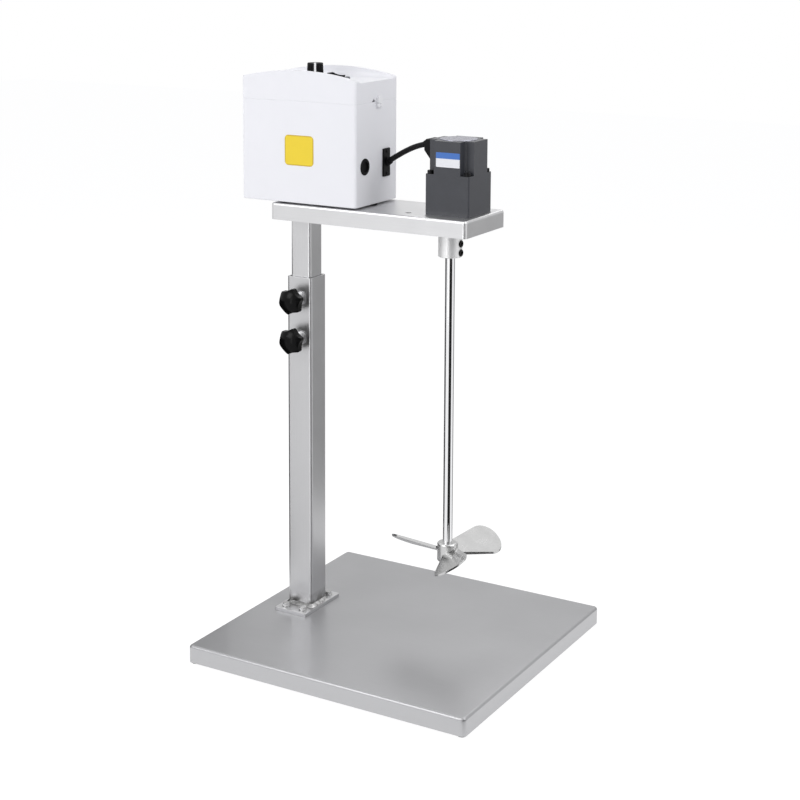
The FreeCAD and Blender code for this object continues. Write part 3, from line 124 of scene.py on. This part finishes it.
# one material and the nodes inside it
class Finish(Tree):
    def __init__(self, name):
        self.material = bpy.data.materials.new(name)
        self.material.use_nodes = True
        super().__init__(self.material.node_tree, "Material Output")
        self.shader = self.tree.nodes["Principled BSDF"]

    def place(self, centre=(0, 0, 0), turn=(0, 0, 0), scale=(1, 1, 1)):
        here = self.put("ShaderNodeTexCoord", {}, {}, "Object")
        moved = self.put("ShaderNodeVectorMath", {"operation": "SUBTRACT"}, {0: here, 1: centre})
        return self.put("ShaderNodeMapping", {"vector_type": "POINT"},
                        {"Vector": moved, "Rotation": turn, "Scale": scale})

    def noise(self, where, size, detail=3.0, roughness=0.5):
        return self.put("ShaderNodeTexNoise", {},
                        {"Vector": where, "Scale": 1.0 / size, "Detail": detail,
                         "Roughness": roughness})

    def axis(self, where, letter):
        return self.put("ShaderNodeSeparateXYZ", {}, {"Vector": where}, letter)

    def spread(self, signal, low, high, fromLow=noiseRange["low"], fromHigh=noiseRange["high"]):
        return self.put("ShaderNodeMapRange", {"clamp": True},
                        {"Value": signal, "From Min": fromLow, "From Max": fromHigh,
                         "To Min": low, "To Max": high})

    def blend(self, share, first, second, way="MIX"):
        return self.put("ShaderNodeMix", {"data_type": "RGBA", "blend_type": way},
                        {mixSockets["share"]: share, mixSockets["first"]: first,
                         mixSockets["second"]: second}, mixSockets["result"])

    # the look's colour, darker and lighter by its variation
    def mottle(self, pattern, look):
        return self.blend(self.spread(pattern, 0.0, 1.0),
                          shade(look["colour"], 1 - look["variation"]),
                          shade(look["colour"], 1 + look["variation"]))

    # the look's roughness, smoother and rougher by its spread
    def polish(self, pattern, look):
        return self.spread(pattern, look["roughness"] - look["roughnessSpread"],
                           look["roughness"] + look["roughnessSpread"])

    # the height is in metres
    def bump(self, height, depth=1.0):
        return self.put("ShaderNodeBump", {},
                        {"Height": height, "Strength": 1.0, "Distance": depth})

    def wear(self, **inputs):
        for name, value in inputs.items():
            if value is not None:
                self.feed(self.shader.inputs[shaderSockets[name]], value)
        return self.material


def shade(colour, amount):
    return tuple(min(1.0, channel * amount) for channel in colour)


# patterns added up, each by its own share
def mixed(patterns, shares):
    weighed = [pattern * share for pattern, share in zip(patterns, shares)]
    return sum(weighed[1:], weighed[0])


# sheet and tube with a fine brushed grain along one axis
brushing = {"stretch": 0.02, "markSize": 0.14, "markTurn": (0.4, 0.7, 0.3),
            "colourShares": (0.55, 0.45), "polishShares": (0.5, 0.3, 0.2)}


def brushLines(finish, look):
    stretch = [brushing["stretch"] if axis == look["grainAlong"] else 1.0 for axis in "XYZ"]
    return finish.noise(finish.place(scale=stretch), look["grainSize"], detail=4.0,
                        roughness=0.65)


def brushedMetal(name, look):
    finish = Finish(name)
    lines = brushLines(finish, look)
    clouds = finish.noise(finish.place(), look["cloudSize"])
    marks = finish.noise(finish.place(turn=brushing["markTurn"]),
                         look["cloudSize"] * brushing["markSize"], detail=5.0, roughness=0.7)
    colour = finish.mottle(mixed((lines, clouds), brushing["colourShares"]), look)
    # the base's flanges below its top edge are painted lighter than its top: painted light
    if "skirtOn" in look:
        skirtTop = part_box(look["skirtOn"])[1][2] - look["skirtBelow"]
        isPaintedLitSkirt = finish.axis(finish.place(), "Z") < skirtTop
        colour = finish.blend(isPaintedLitSkirt * look["skirtPaintedLightShare"], colour, look["skirtPaintedLight"])
    rough = finish.polish(mixed((lines, clouds, marks), brushing["polishShares"]), look)
    return finish.wear(colour=colour, roughness=rough, metallic=look["metallic"],
                       coat=look.get("coat"), coatRoughness=look.get("coatRoughness"),
                       normal=finish.bump(lines, look["grainDepth"]))


# a rippled weld bead at a tube's foot, painted light on its +X side, painted shade on its other
# sides and in its ripple hollows, and darker in patches above it
weld = {"on": "outer_column", "beadTop": 0.0372, "beadWidth": 0.005, "paintedLitFrom": -0.003,
        "paintedLitTo": 0.001, "beadColour": (0.62, 0.62, 0.62), "hollowShade": 0.42,
        "otherSidePaintedShade": 0.35, "beadRoughness": 0.12, "rippleSize": 0.0065, "rippleDepth": 0.0016,
        "crestFrom": 0.38, "crestTo": 0.58, "darkerTop": 0.054, "darkerPatchSize": 0.016,
        "darkerColour": (0.17, 0.165, 0.16), "darkerLeast": 0.1, "darkerMost": 0.95,
        "patchFrom": 0.38, "patchTo": 0.56, "polishShares": (0.6, 0.4)}


def weldedMetal(name, look):
    finish = Finish(name)
    lines = brushLines(finish, look)
    clouds = finish.noise(finish.place(), look["cloudSize"])
    colour = finish.mottle(mixed((lines, clouds), brushing["colourShares"]), look)
    up = finish.axis(finish.place(), "Z")
    isBead = up < weld["beadTop"]

    # the tube is darker in patches for a short way above the bead
    patches = finish.noise(finish.place(), weld["darkerPatchSize"], roughness=0.6)
    darkening = finish.spread(up, 1.0, 0.0, weld["beadTop"], weld["darkerTop"])
    darkening = darkening * finish.spread(patches, weld["darkerLeast"], weld["darkerMost"],
                                weld["patchFrom"], weld["patchTo"])
    colour = finish.blend(darkening, colour, weld["darkerColour"])

    ripples = finish.noise(finish.place(), weld["rippleSize"], detail=2.0, roughness=0.6)
    crests = finish.spread(ripples, 0.0, 1.0, weld["crestFrom"], weld["crestTo"])
    # the bead's ripple hollows are painted shade
    bead = finish.blend(crests, shade(weld["beadColour"], weld["hollowShade"]),
                        weld["beadColour"])
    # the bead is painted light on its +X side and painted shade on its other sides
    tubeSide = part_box(weld["on"])[1][0] - weld["beadWidth"]
    isPaintedLit = finish.spread(finish.axis(finish.place(), "X"), 0.0, 1.0,
                             tubeSide + weld["paintedLitFrom"], tubeSide + weld["paintedLitTo"])
    bead = finish.blend(isPaintedLit, shade(weld["beadColour"], weld["otherSidePaintedShade"]), bead)
    colour = finish.blend(isBead, colour, bead)

    rough = finish.polish(mixed((lines, clouds), weld["polishShares"]), look)
    height = lines * look["grainDepth"] + ripples * isBead * weld["rippleDepth"]
    return finish.wear(colour=colour, roughness=rough + isBead * weld["beadRoughness"],
                       metallic=look["metallic"], normal=finish.bump(height))


# turned metal: rings round an upright axis on a flat face, or up along it on a round one
turning = {"colourShares": (0.5, 0.5), "polishShares": (0.6, 0.4)}


def turnedMetal(name, look):
    finish = Finish(name)
    low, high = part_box(look["on"])
    where = finish.place(centre=(Vector(low) + Vector(high)) / 2)
    flat = finish.put("ShaderNodeVectorMath", {"operation": "MULTIPLY"},
                      {0: where, 1: look["across"]})
    radius = finish.put("ShaderNodeVectorMath", {"operation": "LENGTH"}, {0: flat}, "Value")
    rings = finish.put("ShaderNodeTexNoise", {"noise_dimensions": "1D"},
                       {"W": radius + finish.axis(where, "Z"), "Scale": 1.0 / look["ringSize"],
                        "Detail": 3.0})
    clouds = finish.noise(finish.place(), look["cloudSize"])
    colour = finish.mottle(mixed((rings, clouds), turning["colourShares"]), look)
    rough = finish.polish(mixed((rings, clouds), turning["polishShares"]), look)
    return finish.wear(colour=colour, roughness=rough, metallic=look["metallic"],
                       normal=finish.bump(rings, look["ringDepth"]))


# cast or moulded surface: a fine texture over slow unevenness
moulding = {"shares": (0.4, 0.6), "cloudTurn": (0.5, 0.2, 0.9)}


def mouldedFinish(name, look):
    finish = Finish(name)
    grain = finish.noise(finish.place(), look["grainSize"], detail=2.0, roughness=0.6)
    clouds = finish.noise(finish.place(turn=moulding["cloudTurn"]), look["cloudSize"],
                          detail=4.0, roughness=0.55)
    pattern = mixed((grain, clouds), moulding["shares"])
    height = grain * look["grainDepth"] + clouds * look["waveDepth"]
    return finish.wear(colour=finish.mottle(pattern, look), roughness=finish.polish(pattern, look),
                       metallic=look.get("metallic", 0.0), coat=look.get("coat"),
                       coatRoughness=look.get("coatRoughness"), specular=look.get("specular"),
                       normal=finish.bump(height))


# brushed sheet and tube
baseLook = {"colour": (0.40, 0.40, 0.41), "variation": 0.05, "roughness": 0.40,
            "roughnessSpread": 0.04, "metallic": 0.70, "grainAlong": "X", "grainSize": 0.0012,
            "grainDepth": 0.00001, "cloudSize": 0.09, "coat": 0.30, "coatRoughness": 0.07,
            # the skirt colour is painted light, lighter than the top, put on the base's flanges
            "skirtOn": "base_plate", "skirtBelow": 0.0035, "skirtPaintedLightShare": 0.7,
            "skirtPaintedLight": (0.55, 0.55, 0.56)}
headLook = {"colour": (0.66, 0.66, 0.67), "variation": 0.04, "roughness": 0.33,
            "roughnessSpread": 0.035, "metallic": 1.0, "grainAlong": "X", "grainSize": 0.0011,
            "grainDepth": 0.00001, "cloudSize": 0.045}
outerTubeLook = dict(headLook, colour=(0.58, 0.58, 0.59), grainAlong="Z", roughness=0.34)
innerTubeLook = dict(headLook, colour=(0.60, 0.60, 0.61), grainAlong="Z", roughness=0.31)
footLook = dict(headLook, colour=(0.60, 0.60, 0.61), roughness=0.32, grainAlong="Y",
                cloudSize=0.02)
fastenerLook = dict(headLook, colour=(0.52, 0.52, 0.52), roughness=0.22, grainAlong="Z",
                    cloudSize=0.004, variation=0.14, grainSize=0.0006)
knobSteelLook = dict(fastenerLook, colour=(0.62, 0.62, 0.62), roughness=0.20, grainAlong="Y")
gearSteelLook = dict(fastenerLook, colour=(0.45, 0.45, 0.46), roughness=0.3)

# turned metal
motorCoverLook = {"on": "motor_cover", "across": (1, 1, 0), "colour": (0.34, 0.34, 0.40),
                  "variation": 0.10, "roughness": 0.26, "roughnessSpread": 0.07, "metallic": 1.0,
                  "ringSize": 0.0011, "ringDepth": 0.00003, "cloudSize": 0.02}
shaftLook = {"on": "stirrer_shaft", "across": (0, 0, 0), "colour": (0.80, 0.80, 0.81),
             "variation": 0.03, "roughness": 0.05, "roughnessSpread": 0.01, "metallic": 1.0,
             "ringSize": 0.0006, "ringDepth": 0.000002, "cloudSize": 0.05}
couplingLook = dict(shaftLook, colour=(0.84, 0.84, 0.84), roughness=0.44, roughnessSpread=0.05,
                    metallic=0.7, ringSize=0.0008, ringDepth=0.00001)
bearingLook = dict(shaftLook, roughness=0.18)

# cast metal, copper wire and paint
propellerLook = {"colour": (0.58, 0.58, 0.58), "variation": 0.05, "roughness": 0.24,
                 "roughnessSpread": 0.06, "metallic": 1.0, "grainSize": 0.0009,
                 "cloudSize": 0.018, "grainDepth": 0.00001, "waveDepth": 0.00003}
brassLook = dict(propellerLook, colour=(0.70, 0.50, 0.22), waveDepth=0.00002)
copperLook = dict(propellerLook, colour=(0.60, 0.28, 0.14), grainDepth=0.0003)
ironLook = dict(propellerLook, colour=(0.20, 0.20, 0.21), roughness=0.5)
motorPaintLook = {"colour": (0.042, 0.044, 0.052), "variation": 0.10, "roughness": 0.36,
                  "roughnessSpread": 0.05, "grainSize": 0.0007, "cloudSize": 0.02,
                  "grainDepth": 0.00005, "waveDepth": 0.00004, "specular": 0.45}

# plastic, rubber and blackened steel
boxLook = {"colour": (0.81, 0.81, 0.84), "variation": 0.010, "roughness": 0.46,
           "roughnessSpread": 0.05, "grainSize": 0.0006, "cloudSize": 0.06,
           "grainDepth": 0.00003, "waveDepth": 0.00004, "specular": 0.35}
catchLook = dict(boxLook, colour=(0.84, 0.84, 0.86), cloudSize=0.01)
pointerLook = dict(boxLook, colour=(0.82, 0.82, 0.82), cloudSize=0.004)
starKnobLook = {"colour": (0.0028, 0.0028, 0.003), "variation": 0.2, "roughness": 0.22,
                "roughnessSpread": 0.06, "grainSize": 0.0011, "cloudSize": 0.012,
                "grainDepth": 0.00001, "waveDepth": 0.00004, "specular": 0.10}
blackPlasticLook = {"colour": (0.004, 0.004, 0.0045), "variation": 0.2, "roughness": 0.48,
                    "roughnessSpread": 0.06, "grainSize": 0.0005, "cloudSize": 0.01,
                    "grainDepth": 0.00003, "waveDepth": 0.00002, "specular": 0.12}
rockerLook = dict(blackPlasticLook, colour=(0.013, 0.013, 0.014), roughness=0.55, specular=0.0,
                  cloudSize=0.006)
bezelLook = dict(blackPlasticLook, colour=(0.022, 0.022, 0.023), roughness=0.55, specular=0.01,
                 cloudSize=0.004)
rubberLook = dict(blackPlasticLook, colour=(0.005, 0.005, 0.0055), roughness=0.60)
leadLook = dict(rubberLook, roughness=0.50, cloudSize=0.02, specular=0.16)
blackSteelLook = dict(blackPlasticLook, colour=(0.012, 0.012, 0.013), roughness=0.36,
                      metallic=0.5, specular=0.2)
lampLook = dict(blackPlasticLook, colour=(0.16, 0.17, 0.18), roughness=0.12, coat=0.6,
                coatRoughness=0.08)
boardLook = dict(blackPlasticLook, colour=(0.02, 0.12, 0.05), cloudSize=0.008)
innerPlasticLook = dict(blackPlasticLook, colour=(0.22, 0.22, 0.24))

finishes = {
    "base_sheet": brushedMetal("baseSheet", baseLook),
    "pad_rubber": mouldedFinish("padRubber", rubberLook),
    "foot_steel": brushedMetal("footSteel", footLook),
    "outer_tube": weldedMetal("outerTube", outerTubeLook),
    "inner_tube": brushedMetal("innerTube", innerTubeLook),
    "fastener_steel": brushedMetal("fastenerSteel", fastenerLook),
    "knob_plastic": mouldedFinish("knobPlastic", starKnobLook),
    "knob_steel": brushedMetal("knobSteel", knobSteelLook),
    "pad_brass": mouldedFinish("padBrass", brassLook),
    "head_sheet": brushedMetal("headSheet", headLook),
    "motor_paint": mouldedFinish("motorPaint", motorPaintLook),
    "cover_metal": turnedMetal("coverMetal", motorCoverLook),
    "motor_screw_steel": mouldedFinish("motorScrewSteel", blackSteelLook),
    "bearing_steel": turnedMetal("bearingSteel", bearingLook),
    "gear_steel": brushedMetal("gearSteel", gearSteelLook),
    "core_iron": mouldedFinish("coreIron", ironLook),
    "winding_copper": mouldedFinish("windingCopper", copperLook),
    "boot_rubber": mouldedFinish("bootRubber", rubberLook),
    "lead_rubber": mouldedFinish("leadRubber", leadLook),
    "coupling_steel": turnedMetal("couplingSteel", couplingLook),
    "black_screw": mouldedFinish("blackScrew", blackSteelLook),
    "shaft_steel": turnedMetal("shaftSteel", shaftLook),
    "propeller_steel": mouldedFinish("propellerSteel", propellerLook),
    "box_plastic": mouldedFinish("boxPlastic", boxLook),
    "catch_plastic": mouldedFinish("catchPlastic", catchLook),
    "box_foot_rubber": mouldedFinish("boxFootRubber", rubberLook),
    "socket_plastic": mouldedFinish("socketPlastic", blackPlasticLook),
    "socket_screw_steel": mouldedFinish("socketScrewSteel", blackSteelLook),
    "dial_plastic": mouldedFinish("dialPlastic", blackPlasticLook),
    "pointer_white": mouldedFinish("pointerWhite", pointerLook),
    "switch_plastic": mouldedFinish("switchPlastic", bezelLook),
    "rocker_plastic": mouldedFinish("rockerPlastic", rockerLook),
    "lamp_lens": mouldedFinish("lampLens", lampLook),
    "board_green": mouldedFinish("boardGreen", boardLook),
    "inner_plastic": mouldedFinish("innerPlastic", innerPlasticLook),
}
slotOfNode = {row["node"]: row["material_slot"] for row in frame["record"]["subparts"]}


def dress(piece, material):
    if piece.data.materials:
        for slot in piece.material_slots:
            slot.material = material
    else:
        piece.data.materials.append(material)


for name, piece in nodes.items():
    dress(piece, finishes[slotOfNode[name]])
say("materials on", len(nodes), "nodes")


def linked(name, data):
    piece = bpy.data.objects.new(name, data)
    bpy.context.scene.collection.objects.link(piece)
    return piece


def pieceFrom(name, bm, material):
    mesh = bpy.data.meshes.new(name)
    bm.to_mesh(mesh)
    bm.free()
    piece = linked(name, mesh)
    dress(piece, material)
    return piece


# merged copies of the solids whose sharp edges catch the light, with their edges' widths
edgeRounds = {
    "foot_plate": 0.0007, "foot_bolts": 0.0004, "foot_washers": 0.0003,
    "shaft_coupling": 0.0005, "coupling_screws": 0.0003, "gear_case": 0.0006,
    "motor_housing": 0.0005, "motor_screws": 0.0003, "socket_plate": 0.0004,
    "propeller": 0.0004, "box_body": 0.0006, "box_lid": 0.0006, "speed_knob": 0.0005,
    "switch_rocker": 0.0005, "switch_body": 0.0004, "cable_boot": 0.0005, "stirrer_shaft": 0.0005,
    "clamp_bosses": 0.0003, "base_pads": 0.0005,
}
rounding = {"mergeGap": 0.00001, "flatDegrees": 0.3, "sharpDegrees": 32, "segments": 2,
            "flatWeight": 100}
bodyOfNode = {node: body for body, members in frame["record"]["behaviour"]["bodies"].items()
              for node in members}


def softEdges(name, width, look):
    bm = bmesh.new()
    bm.from_mesh(nodes[name].data)
    bmesh.ops.remove_doubles(bm, verts=bm.verts[:], dist=look["mergeGap"])
    bmesh.ops.dissolve_limit(bm, angle_limit=math.radians(look["flatDegrees"]),
                             verts=bm.verts[:], edges=bm.edges[:],
                             use_dissolve_boundaries=False)
    bmesh.ops.recalc_face_normals(bm, faces=bm.faces[:])
    piece = pieceFrom(name + "Rounded", bm, finishes[slotOfNode[name]])
    piece.data.shade_smooth()
    edges = piece.modifiers.new("edgeRound", "BEVEL")
    edges.width = width
    edges.segments = look["segments"]
    edges.limit_method = "ANGLE"
    edges.angle_limit = math.radians(look["sharpDegrees"])
    flats = piece.modifiers.new("flatFaces", "WEIGHTED_NORMAL")
    flats.mode = "FACE_AREA"
    flats.weight = look["flatWeight"]
    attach(piece, bodyOfNode[name])
    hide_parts(name)


for name, width in edgeRounds.items():
    softEdges(name, width, rounding)
say("edges rounded on", len(edgeRounds), "pieces")


# blank plates on the motor and the box, placed from the middle of the face that carries them
motorPlate = {"width": 0.0370, "height": 0.0205, "corner": 0.001, "thickness": 0.0004,
              "aside": 0.0012, "up": -0.0008, "on": "motor_housing", "band": 0.0085,
              "colour": (0.80, 0.81, 0.84), "edgeColour": (0.05, 0.16, 0.50), "cloudSize": 0.004,
              "dirtColour": (0.5, 0.5, 0.52), "dirtShare": 0.12, "roughness": (0.28, 0.40)}
boxPlate = {"width": 0.049, "height": 0.044, "corner": 0.006, "thickness": 0.0004,
            "aside": 0.0021, "up": 0.0029, "on": "box_body", "rim": 0.0016,
            "colour": (0.83, 0.62, 0.03), "edgeColour": (0.60, 0.42, 0.02), "cloudSize": 0.006,
            "dirtColour": (0.6, 0.55, 0.4), "dirtShare": 0.1, "roughness": (0.30, 0.42)}
plateRounds = {"cornerSegments": 8, "rimSegments": 2, "rimShare": 0.35}


def plateCentre(look):
    low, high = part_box(look["on"])
    return Vector(((low[0] + high[0]) / 2 + look["aside"], low[1],
                   (low[2] + high[2]) / 2 + look["up"]))


def roundedPlate(name, look, rounds, material, body):
    bm = bmesh.new()
    bmesh.ops.create_grid(bm, x_segments=1, y_segments=1, size=0.5)
    bmesh.ops.scale(bm, vec=(look["width"], look["height"], 1), verts=bm.verts)
    bmesh.ops.bevel(bm, geom=bm.verts[:], affect="VERTICES", offset=look["corner"],
                    segments=rounds["cornerSegments"], profile=0.5, material=-1)
    top = bmesh.ops.extrude_face_region(bm, geom=bm.faces[:])
    raised = [item for item in top["geom"] if isinstance(item, bmesh.types.BMVert)]
    bmesh.ops.translate(bm, vec=(0, 0, look["thickness"]), verts=raised)
    rim = [edge for edge in bm.edges if all(vert in raised for vert in edge.verts)]
    bmesh.ops.bevel(bm, geom=rim, affect="EDGES", offset=rounds["rimShare"] * look["thickness"],
                    segments=rounds["rimSegments"], profile=0.5, material=-1)
    stand = Matrix.Translation(plateCentre(look)) @ Matrix.Rotation(math.radians(90), 4, "X")
    bmesh.ops.transform(bm, matrix=stand, verts=bm.verts)
    bmesh.ops.recalc_face_normals(bm, faces=bm.faces[:])
    piece = pieceFrom(name, bm, material)
    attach(piece, body)


# printed foil, a little dirty, with the edge colour where isEdge is 1
def foil(finish, where, isEdge, look):
    clouds = finish.noise(where, look["cloudSize"])
    colour = finish.blend(isEdge, look["colour"], look["edgeColour"])
    colour = finish.blend(clouds * look["dirtShare"], colour, look["dirtColour"], "MULTIPLY")
    return finish.wear(colour=colour, roughness=finish.spread(clouds, *look["roughness"]),
                       metallic=0.0)


def motorPlateFinish(look):
    finish = Finish("motorPlateFoil")
    where = finish.place(centre=plateCentre(look))
    isBand = finish.axis(where, "Z") > look["height"] / 2 - look["band"]
    return foil(finish, where, isBand, look)


def boxPlateFinish(look):
    finish = Finish("boxPlateFoil")
    where = finish.place(centre=plateCentre(look))
    across = finish.maths("ABSOLUTE", finish.axis(where, "X"))
    up = finish.maths("ABSOLUTE", finish.axis(where, "Z"))
    isRim = finish.maths("MAXIMUM", across > look["width"] / 2 - look["rim"],
                         up > look["height"] / 2 - look["rim"])
    return foil(finish, where, isRim, look)


roundedPlate("motorNameplate", motorPlate, plateRounds, motorPlateFinish(motorPlate), "head")
roundedPlate("boxPlate", boxPlate, plateRounds, boxPlateFinish(boxPlate), "head")
say("blank plates placed")


# the motor lead, on the same corner points as its solid
leadRun = {"diameter": 0.008, "length": 0.0825, "roundSteps": 8, "alongSteps": 24}
leadRoute = [(0.04505, -0.0002, 0.7492), (0.02847, 0.00546, 0.74507),
             (0.00828, 0.01235, 0.73669), (-0.00975, 0.01850, 0.72764),
             (-0.02705, 0.0244, 0.7182)]


def motorLead(look, route):
    curve = bpy.data.curves.new("motorLeadCurve", "CURVE")
    curve.dimensions = "3D"
    curve.bevel_depth = look["diameter"] / 2
    curve.bevel_resolution = look["roundSteps"]
    curve.resolution_u = look["alongSteps"]
    spline = curve.splines.new("NURBS")
    spline.points.add(len(route) - 1)
    for point, place in zip(spline.points, route):
        point.co = (*place, 1.0)
    spline.order_u = 3
    spline.use_endpoint_u = True
    piece = linked("motorLead", curve)
    curve.materials.append(finishes["lead_rubber"])
    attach(piece, "head")
    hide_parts("motor_lead")


motorLead(leadRun, leadRoute)
say("motor lead laid")


# floor, world, lamps, reflection cards and camera; turns are in degrees from the camera's side
studio = {"floorSize": 14.0, "floorColour": (0.90, 0.90, 0.91), "floorRoughness": 0.9,
          "floorWhite": 0.80, "floorGlow": 1.12, "skyColour": (0.96, 0.97, 1.0), "sky": 0.54,
          "white": (1, 1, 1), "middle": (0, 0, 0.42)}
lamps = {
    "keyLamp": {"turn": -54, "up": 34, "away": 3.0, "size": (1.6, 1.6), "power": 34.0},
    "sideLamp": {"turn": 62, "up": 44, "away": 2.6, "size": (1.4, 1.6), "power": 20.0},
    "backLamp": {"turn": 165, "up": 42, "away": 2.6, "size": (1.6, 1.0), "power": 8.0},
    "stripLamp": {"turn": -36, "up": 2, "away": 2.2, "size": (0.28, 1.5), "power": 4.0},
}
cardSteps = 8  # straight steps round each card's arc
# a card's line gives the distance and height of points that are swept round the object
cards = {
    "lensCard": {"turns": (-8, 50), "line": [(0.36, 0.004), (0.8, 0.004), (0.8, 0.46)],
                 "tone": 0.02},
    "motorCard": {"turns": (-12, 32), "line": [(0.8, 0.57), (0.8, 0.80)], "tone": 0.02},
    "leftCard": {"turns": (-158, -85), "line": [(0.36, 0.004), (0.8, 0.004), (0.8, 0.46)],
                 "tone": 0.01},
    "rightCard": {"turns": (98, 150), "line": [(0.46, 0.004), (2.6, 0.004), (2.6, 0.3)],
                  "tone": 0.37},
    "highCard": {"turns": (98, 150), "line": [(2.6, 0.3), (2.6, 2.6)], "tone": 0.78},
    "backCard": {"turns": (152, 215), "line": [(2.6, -0.3), (2.6, 1.8)], "tone": 0.68},
}
camera = {"lens": 76.766, "sensor": 36, "azimuth": 31.56, "elevation": 8.0, "distance": 2.43543,
          "targetOn": "base_plate", "targetAcross": -0.08847, "targetUp": 0.71192,
          "shiftAcross": 0.07584, "shiftUp": -0.28987}


# a unit vector away from the object, turned from the camera's side and raised
def towards(turn, up):
    around = math.radians(camera["azimuth"] + turn)
    raised = math.radians(up)
    return Vector((math.sin(around) * math.cos(raised), -math.cos(around) * math.cos(raised),
                   math.sin(raised)))


# white paper that keeps a part of the object's shadow
def makeFloor(look):
    bm = bmesh.new()
    bmesh.ops.create_grid(bm, x_segments=1, y_segments=1, size=look["floorSize"] / 2)
    finish = Finish("floorPaper")
    finish.wear(colour=look["floorColour"], roughness=look["floorRoughness"], specular=0.0)
    paper = Signal(finish, finish.shader.outputs[0])
    glow = finish.put("ShaderNodeEmission", {},
                      {"Color": look["white"], "Strength": look["floorGlow"]})
    share = finish.seenRay() * look["floorWhite"]
    finish.show(finish.put("ShaderNodeMixShader", {}, {0: share, 1: paper, 2: glow}))
    pieceFrom("studioFloor", bm, finish.material)


# white where it is seen, and soft light everywhere else
def makeWorld(look):
    world = bpy.data.worlds.new("studioWorld")
    bpy.context.scene.world = world
    world.use_nodes = True
    sky = Tree(world.node_tree, "World Output")
    light = sky.put("ShaderNodeBackground", {},
                    {"Color": look["skyColour"], "Strength": look["sky"]})
    white = sky.put("ShaderNodeBackground", {}, {"Color": look["white"], "Strength": 1.0})
    sky.show(sky.put("ShaderNodeMixShader", {}, {0: sky.seenRay(), 1: light, 2: white}))


def makeLamp(name, look):
    light = bpy.data.lights.new(name, "AREA")
    light.shape = "RECTANGLE"
    light.size, light.size_y = look["size"]
    light.energy = look["power"]
    lamp = linked(name, light)
    outward = towards(look["turn"], look["up"])
    lamp.location = Vector(studio["middle"]) + outward * look["away"]
    lamp.rotation_euler = outward.to_track_quat("Z", "Y").to_euler()


# a curved grey card that only reflections show
def makeCard(name, look):
    first, last = look["turns"]
    bm = bmesh.new()
    line = [bm.verts.new(towards(first, 0) * away + Vector((0, 0, up)))
            for away, up in look["line"]]
    edges = [bm.edges.new(pair) for pair in zip(line, line[1:])]
    bmesh.ops.spin(bm, geom=line + edges, cent=(0, 0, 0), axis=(0, 0, 1), steps=cardSteps,
                   angle=math.radians(last - first))
    finish = Finish(name + "Paper")
    finish.show(finish.put("ShaderNodeEmission", {},
                           {"Color": [look["tone"]] * 3, "Strength": 1.0}))
    card = pieceFrom(name, bm, finish.material)
    card.visible_camera = False
    card.visible_diffuse = False
    card.visible_shadow = False
    card.visible_transmission = False


def makeCamera(look):
    low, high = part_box(look["targetOn"])
    target = Vector(((low[0] + high[0]) / 2, 0, look["targetUp"]))
    target += towards(90, 0) * look["targetAcross"]
    back = towards(0, look["elevation"])
    data = bpy.data.cameras.new("photoCamera")
    data.lens = look["lens"]
    data.sensor_width = look["sensor"]
    data.shift_x = look["shiftAcross"]
    data.shift_y = look["shiftUp"]
    piece = linked("photoCamera", data)
    piece.location = target + back * look["distance"]
    piece.rotation_mode = "QUATERNION"
    piece.rotation_quaternion = (-back).to_track_quat("-Z", "Y")
    bpy.context.scene.camera = piece


makeFloor(studio)
makeWorld(studio)
for name, look in lamps.items():
    makeLamp(name, look)
for name, look in cards.items():
    makeCard(name, look)
makeCamera(camera)
bpy.context.scene.view_settings.view_transform = "Standard"
say("studio ready")
